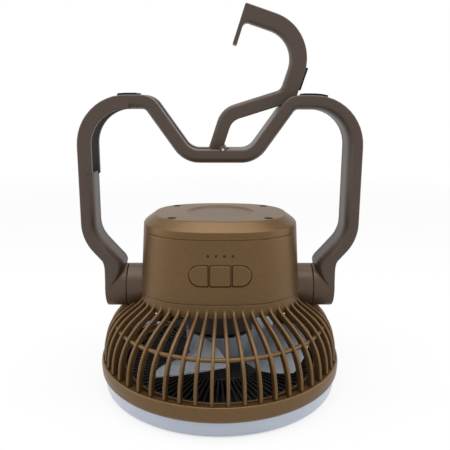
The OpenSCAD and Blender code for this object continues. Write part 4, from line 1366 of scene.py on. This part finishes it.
@dataclass
class Stand(Group):
    """The folding stand: a front and a rear shell, drums, pads, ears and screws."""

    band: float = 9.2
    half_depth: float = 14.0
    seam: float = 5.4
    slot: float = 5.4
    window_lip: float = 3.5
    slot_end: float = 5.9
    window_x: float = -59.0
    window_z: float = 150.6
    rear_drop: float = 2.3
    bar_low: float = 100.0
    drum_in: float = 65.0
    bore: float = 3.2
    recess: Flat = (11.0, 1.1)
    ear: float = 2.3
    pad_reach: float = 12.0
    pad_split: float = 6.2
    pads: tuple[Flat, Flat] = ((62.0, 15.0), (60.5, 12.0))  # middle and length, right and left
    pad_height: float = 1.2

    def samples(self) -> list[Vector]:
        """Points of the centre line, with extra ones where the storage of the hook begins or ends.

        Returns:
            The points, from above the right drum to above the left drum.
        """
        right = [Corner(77.35, 93.4), Corner(89.4, 107.2, 25.5), Corner(89.4, 197.2, 28.5),
                 Corner(47.0, 197.2, 8.5), Corner(22.0, 162.0, 15.5)]
        corners = right + [Corner(-c.x, c.z, c.r) for c in reversed(right)]
        points = [corners[0].at]
        for before, corner, after in zip(corners, corners[1:], corners[2:]):
            points.extend(arc(before.at, corner.at, after.at, corner.r, 12))
        points.append(corners[-1].at)
        marked: list[Vector] = []
        for a, b in zip(points, points[1:]):
            marked.append(a)
            for k, level in ((0, self.slot_end), (0, self.window_x), (1, self.window_z)):
                crosses = (a[k] - level) * (b[k] - level) < 0 and a.y > self.bar_low
                if crosses and (k == 0 or a.x <= 0):
                    marked.append(a + (b - a) * (level - a[k]) / (b[k] - a[k]))
        return [*marked, points[-1]]

    def ankle(self) -> list[Station]:
        """Stations of the right leg's foot, from the drum up to the band."""
        rows = (  # inner x and z, outer x and z, front, rounding across and in depth
            (75.4, 70.0, 79.5, 67.0, -14.96, 1.0, 1.0),
            (74.6, 72.6, 79.5, 69.6, -14.93, 1.4, 1.6),
            (73.2, 75.0, 79.5, 72.2, -14.86, 2.0, 2.6),
            (71.2, 77.3, 79.5, 74.6, -14.7, 2.8, 4.0),
            (69.2, 79.8, 79.5, 77.0, -14.5, 3.6, 5.6),
            (67.6, 82.6, 79.5, 79.6, -14.3, 4.2, 7.4),
            (66.8, 85.4, 79.5, 82.2, -14.15, 4.6, 8.0),
            (67.0, 87.8, 79.55, 84.6, -14.05, 4.4, 6.8),
            (68.4, 90.3, 79.75, 86.8, -14.0, 4.5, 7.2),
            (70.9, 93.1, 80.2, 88.8, -14.0, 4.7, 7.6))
        return [Station(Vector((a, b)), Vector((c, d)), *rest) for a, b, c, d, *rest in rows]

    def stations(self) -> list[Station]:
        """All stations, from the right foot to the left foot.

        Returns:
            The stations.
        """
        points, half = self.samples(), self.band / 2
        result = self.ankle()
        for i, at in enumerate(points):
            way = (points[min(i + 1, len(points) - 1)] - points[max(i - 1, 0)]).normalized()
            out = Vector((way.y, -way.x)) * half
            result.append(Station(at - out, at + out))
        return result + [station.mirrored() for station in reversed(self.ankle())]

    def cut(self, at: Vector) -> Cut:
        """What is taken out of the stand at a point of its centre line."""
        if at.x > self.slot_end or (at.y < self.window_z and at.x < self.window_x):
            return Cut.NONE
        return Cut.WINDOW if at.x < self.window_x else Cut.SLOT

    def front_ring(self, station: Station, cut: Cut) -> list[Solid]:
        """A cross-section of the front shell.

        Args:
            station: Its place.
            cut: What the hook's storage takes out of it.

        Returns:
            The points.
        """
        front = station.front
        if cut is Cut.NONE:
            return station.section(front, self.seam - 0.05, (station.soft, 1.0, 0.5, 0.5),
                                   (station.soft_depth, 1.0, 0.4, 0.4))
        if cut is Cut.SLOT:
            return station.section(front, -self.slot, (4.8, 1.0, 0.5, 0.3), (7.6, 1.0, 0.5, 0.3))
        lip, bend = self.window_lip - self.half_depth, (0.5, 1.0, 0.4, 0.5)
        return station.section(front, lip, bend, bend)

    def rear_ring(self, station: Station, cut: Cut) -> list[Solid]:
        """A cross-section of the rear shell.

        Args:
            station: Where it is.
            cut: What the hook's storage takes out of it.

        Returns:
            The points.
        """
        rear = -station.front
        if cut is Cut.NONE:
            return station.section(self.seam + 0.05, rear, (0.5, 0.5, 1.0, station.soft),
                                   (0.4, 0.4, 1.0, min(station.soft_depth, 6.5)))
        if cut is Cut.SLOT:
            return station.section(self.slot, rear, (0.3, 0.5, 1.0, 3.0), (0.3, 0.5, 1.0, 3.0))
        lip, bend = self.half_depth - self.window_lip, (0.5, 0.4, 1.0, 0.5)
        return station.section(lip, rear, bend, bend)

    def shell(self, ring: Callable[[Station, Cut], list[Solid]]) -> Skin:
        """Sweeps a shell along the stand.

        Args:
            ring: Gives the shell's cross-section at a station.

        Returns:
            The shell's skin.
        """
        stations = self.stations()
        middles = [(station.inner + station.outer) / 2 for station in stations]
        kinds = [self.cut((a + b) / 2) for a, b in zip(middles, middles[1:])]
        rings = []
        for station, before, after in zip(stations, kinds[:1] + kinds, kinds + kinds[-1:]):
            rings.extend(ring(station, kind) for kind in dict.fromkeys((before, after)))
        return Skin().stack(rings)

    def drum(self) -> Skin:
        """The right drum, with a place for its cap."""
        (rim, deep), bore, near, far = self.recess, self.bore, self.drum_in, HINGE_OUT
        return turned([(bore, near), (HINGE_R, near, 0.5), (HINGE_R, far, 0.6), (rim, far, 0.2),
                       (rim, far - deep), (bore, far - deep)], Axis.X, (0, 0, HINGE_Z), 120)

    def pad(self, side: int, low: float, high: float) -> Skin:
        """A pad that follows the shoulder.

        Args:
            side: 1 on the right, -1 on the left.
            low: The depth of its front.
            high: The depth of its rear.

        Returns:
            The pad's skin.
        """
        points = [p for p in self.samples() if p.x > 0]
        middle, length = self.pads[0 if side > 0 else 1]
        dense = [a + (b - a) * k / 12 for a, b in zip(points, points[1:]) for k in range(12)]
        rings = []
        for before, at, after in zip(dense, dense[1:], dense[2:]):
            way = (after - before).normalized()
            out = Vector((way.y, -way.x))
            if out.y < 0.5 or abs(at.x + out.x * self.band / 2 - middle) > length / 2:
                continue
            foot = at + out * (self.band / 2 - 0.1)
            station = Station(foot, foot + out * (self.pad_height + 0.1))
            rings.append(station.section(low, high, (0.05, 0.35, 0.35, 0.05), (0.05, 0.5, 0.5, 0.05)))
        return Skin().stack(rings).mirrored(side)

    def build(self, hook: Hook) -> None:
        """Builds the stand.

        Args:
            hook: The hook, whose raised place is cut into the right shoulder.
        """
        seat = [hook.seat(self.slot)]
        self.mount(self.shell(self.front_ring), "stand_front", GREY_BROWN, "stand", "stand_front_shell", seat)
        lower = replace(self, window_z=self.window_z - self.rear_drop)
        # The rear shell's darker finish is painted shade.
        self.mount(lower.shell(lower.rear_ring), "stand_rear", PAINTED_SHADE_REAR, "stand", "stand_rear_shell")
        for side, label in SIDES:
            drum = self.drum().mirrored(side)
            self.mount(drum, f"drum_{label}", HINGE_BROWN, "stand", "stand_front_shell")
        ears = hook.eye(self.ear, -14.1, -self.slot).joined(hook.eye(self.ear, self.slot, 14.1))
        self.mount(ears, "hook_ears", GREY_BROWN, "stand", "stand_front_shell")
        reach, split = self.pad_reach, self.pad_split
        self.mount(self.pad(1, -reach, reach), "shoulder_pad_right", RUBBER, "stand", "stand_pad_right", seat)
        left = self.pad(-1, -reach, -split).joined(self.pad(-1, split, reach))
        self.mount(left, "shoulder_pad_left", RUBBER, "stand", "stand_pad_left")
        self.dress(STEEL, "stand_screws")


@dataclass
class Hook(Group):
    """The folding hook, drawn where it is stowed and turned up about its pin."""

    pin: Flat = (1.7, 166.6)
    bore: float = 1.55
    knuckle: float = 2.6
    swing: float = 108.0
    half_width: float = 5.0
    lean: float = 54.6
    bend_x: float = -17.7
    low_x: float = -23.2
    tail: float = 3.8
    arm: float = 9.2
    bow: float = 11.0
    lip: float = 2.8
    lip_length: float = 15.5
    top: float = 202.2
    bow_x: float = -90.9
    lip_low: float = 151.5
    pad_x: float = 58.0
    pad_length: float = 15.0
    pad_height: float = 1.2

    def corners(self) -> list[Flat | Solid]:
        """The stowed hook's corners.

        Returns:
            The corners, as x, z and rounding.
        """
        x, z = self.pin
        run = 1 / math.tan(math.radians(self.lean))
        low, roof, inner_x = z - self.arm, self.top - self.bow, self.bow_x + self.bow
        end, lip_top = inner_x + self.lip_length, self.lip_low + self.lip
        return [(x + self.tail, z, 0.8), (self.bend_x, z, 10),
                (self.bend_x - (self.top - z) * run, self.top, 9), (self.bow_x, self.top, 30),
                (self.bow_x, self.lip_low, 1), (end, self.lip_low, 0.6), (end, lip_top, 0.6),
                (inner_x, lip_top, 3), (inner_x, roof, 19), (self.low_x - (roof - low) * run, roof, 6),
                (self.low_x, low, 17), (x + self.tail, low, 0.8)]

    def raised(self, point: Vector) -> Vector:
        """Turns a stowed point up to the raised place.

        Args:
            point: The point.

        Returns:
            Its raised place.
        """
        x, z = self.pin
        dx, dz = point.x - x, point.z - z
        c, s = math.cos(math.radians(-self.swing)), math.sin(math.radians(-self.swing))
        return Vector((x + dx * c - dz * s, point.y, z + dx * s + dz * c))

    def seat(self, slot: float) -> Skin:
        """The room that the raised hook and its pad need, with clearance, from half its width."""
        grown = Outline(Outline(self.corners(), 12.0).inset([-0.4] * 12), 12.0)
        return pillow(grown, -slot, slot, 0.0, 1).mapped(self.raised)

    def eye(self, radius: float, low: float, high: float) -> Skin:
        """A round eye on the pin.

        Args:
            radius: Its outer radius.
            low: The depth of its front.
            high: The depth of its rear.

        Returns:
            The eye's skin.
        """
        profile = [(self.bore, low), (radius, low, 0.4), (radius, high, 0.4), (self.bore, high)]
        return turned(profile, Axis.Y, (self.pin[0], 0, self.pin[1]), 48)

    def build(self) -> None:
        """Builds the hook, its knuckle, its pad and the pin."""
        half, wide, fine, thin = self.half_width, 2.9, 0.8, 0.5
        edges = [fine, fine, fine, fine, thin, thin, thin, wide, wide, wide, wide, fine]
        skin = pillow(Outline(self.corners(), 5.0), -half, half, edges).mapped(self.raised)
        skin.joined(self.eye(self.knuckle, -half, half))
        self.mount(skin, "folding_hook", GREY_BROWN, "hook", "hook")
        low, high = -self.pad_x - self.pad_length / 2, -self.pad_x + self.pad_length / 2
        foot, head = self.top - 0.1, self.top + self.pad_height
        outline = Outline([(low, foot, 0.1), (high, foot, 0.1), (high, head, 0.5), (low, head, 0.5)])
        pad = pillow(outline, -4, 4, 0.3, 3).mapped(self.raised)
        self.mount(pad, "hook_rest_pad", RUBBER, "hook", "hook_pad")
        pin = turned([(0, -13.9), (0.7, -13.9, 0.3), (0.9, -13.5), (1.5, -13.3, 0.1), (1.5, 13.4, 0.3),
                      (0, 13.4)], Axis.Y, (self.pin[0], 0, self.pin[1]), 32)
        self.mount(pin, "hinge_pin_steel", STEEL, "stand", "hook_pin")


# ---------------------------------------------------------------- studio


@dataclass(frozen=True)
class SoftBox:
    """A soft lamp that looks at the fan."""

    label: str
    place: Solid
    size: float
    watts: float


@dataclass
class Studio:
    """The camera, the lamps, the surroundings and the floor."""

    eye: Solid = (-0.7, -376.3, 197.1)
    pitch: float = 12.58
    yaw: float = 0.62
    roll: float = 0.21
    lens: float = 43.97
    target: Solid = (0.0, 0.0, 110.0)
    ambient: float = 0.34
    floor_size: float = 4.0
    boxes: tuple[SoftBox, ...] = (SoftBox("above", (0, -60, 900), 0.9, 7.5),
                                  SoftBox("left", (-800, -60, 330), 0.8, 3.0),
                                  SoftBox("right", (800, -60, 330), 0.8, 2.8))

    def camera(self) -> None:
        """Makes the camera."""
        pitch, yaw, roll = (math.radians(v) for v in (self.pitch, self.yaw, self.roll))
        ahead = Vector((math.sin(yaw) * math.cos(pitch), math.cos(yaw) * math.cos(pitch), -math.sin(pitch)))
        right = Vector((math.cos(yaw), -math.sin(yaw), 0.0))
        above = right.cross(ahead)
        side = right * math.cos(roll) + above * math.sin(roll)
        up = above * math.cos(roll) - right * math.sin(roll)
        data = bpy.data.cameras.new("camera")
        data.lens, data.sensor_width = self.lens, 36.0
        data.clip_start, data.clip_end = 0.01, 20.0
        thing = bpy.data.objects.new("camera", data)
        turn = Matrix((side, up, -ahead)).transposed().to_4x4()
        thing.matrix_world = Matrix.Translation(Vector(self.eye) * MM) @ turn
        bpy.context.scene.collection.objects.link(thing)
        bpy.context.scene.camera = thing

    def lamps(self) -> None:
        """Makes the soft boxes."""
        for box in self.boxes:
            data = bpy.data.lights.new(f"lamp_{box.label}", "AREA")
            data.shape, data.size, data.energy = "SQUARE", box.size, box.watts
            thing = bpy.data.objects.new(f"lamp_{box.label}", data)
            thing.location = Vector(box.place) * MM
            thing.rotation_mode = "QUATERNION"
            thing.rotation_quaternion = (Vector(self.target) - Vector(box.place)).to_track_quat("-Z", "Y")
            bpy.context.scene.collection.objects.link(thing)

    def surroundings(self) -> None:
        """Makes the soft surroundings, which look white to the camera and in reflections."""
        world = bpy.data.worlds.new("studio")
        bpy.context.scene.world = world
        graph = Graph(world)
        soft, white = (graph.add("ShaderNodeBackground", None, {"Color": WHITE, "Strength": strength})
                       for strength in (self.ambient, 1.0))
        mixed = graph.add("ShaderNodeMixShader", None, {0: graph.seen(), 1: soft, 2: white})
        graph.end(mixed, "ShaderNodeOutputWorld")

    def floor(self) -> None:
        """Makes the pale floor, which fades to white away from the fan and keeps its shadow, with a painted
        shadow under the fan.
        """
        graph = Graph(bpy.data.materials.new("pale_floor"))
        away = graph.add("ShaderNodeVectorMath", {"operation": "LENGTH"}, {0: graph.place()}, "Value")
        whiten = away.clipped(0.074, 0.082) * 0.8 + away.clipped(0.2, 1.2) * 0.2
        deep, grey, pale = ((tone, tone, tone, 1.0) for tone in (0.05, 0.84, 0.88))
        # The near-black colour inside the ring is a painted shadow under the fan.
        colour = graph.mix(deep, graph.mix(grey, pale, graph.noise(3.0, 2.0)), away.clipped(0.064, 0.072))
        matt = graph.add("ShaderNodeBsdfPrincipled", None, {"Base Color": colour, "Roughness": 0.9})
        white = graph.add("ShaderNodeEmission", None, {"Color": WHITE, "Strength": 1.0})
        graph.end(graph.add("ShaderNodeMixShader", None, {0: graph.seen() * whiten, 1: matt, 2: white}))
        size, ways = self.floor_size, ((-1, -1), (1, -1), (1, 1), (-1, 1))
        corners = [(x * size, y * size, 0) for x, y in ways]
        mesh = bpy.data.meshes.new("floor")
        mesh.from_pydata(corners, [], [(0, 1, 2, 3)])
        mesh.materials.append(graph.owner)
        thing = bpy.data.objects.new("floor", mesh)
        thing.location.z = -0.00005
        bpy.context.scene.collection.objects.link(thing)

    def build(self) -> None:
        """Makes the studio."""
        self.camera()
        self.lamps()
        self.surroundings()
        self.floor()
        bpy.context.scene.view_settings.view_transform = "Standard"


def main() -> None:
    """Builds the fan and its studio."""
    logging.basicConfig(level=logging.INFO, format="%(message)s")
    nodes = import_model()["nodes"]
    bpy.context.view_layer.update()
    Studio().build()
    housing, panel, hook = Housing(nodes), ButtonPanel(nodes), Hook(nodes)
    for group in (LightRing(nodes), Grille(nodes), Cage(nodes)):
        group.build()
    housing.build(panel)
    panel.build(housing)
    FanUnit(nodes).build()
    Hinges(nodes).build()
    Stand(nodes).build(hook)
    hook.build()


if __name__ == "__main__":
    main()
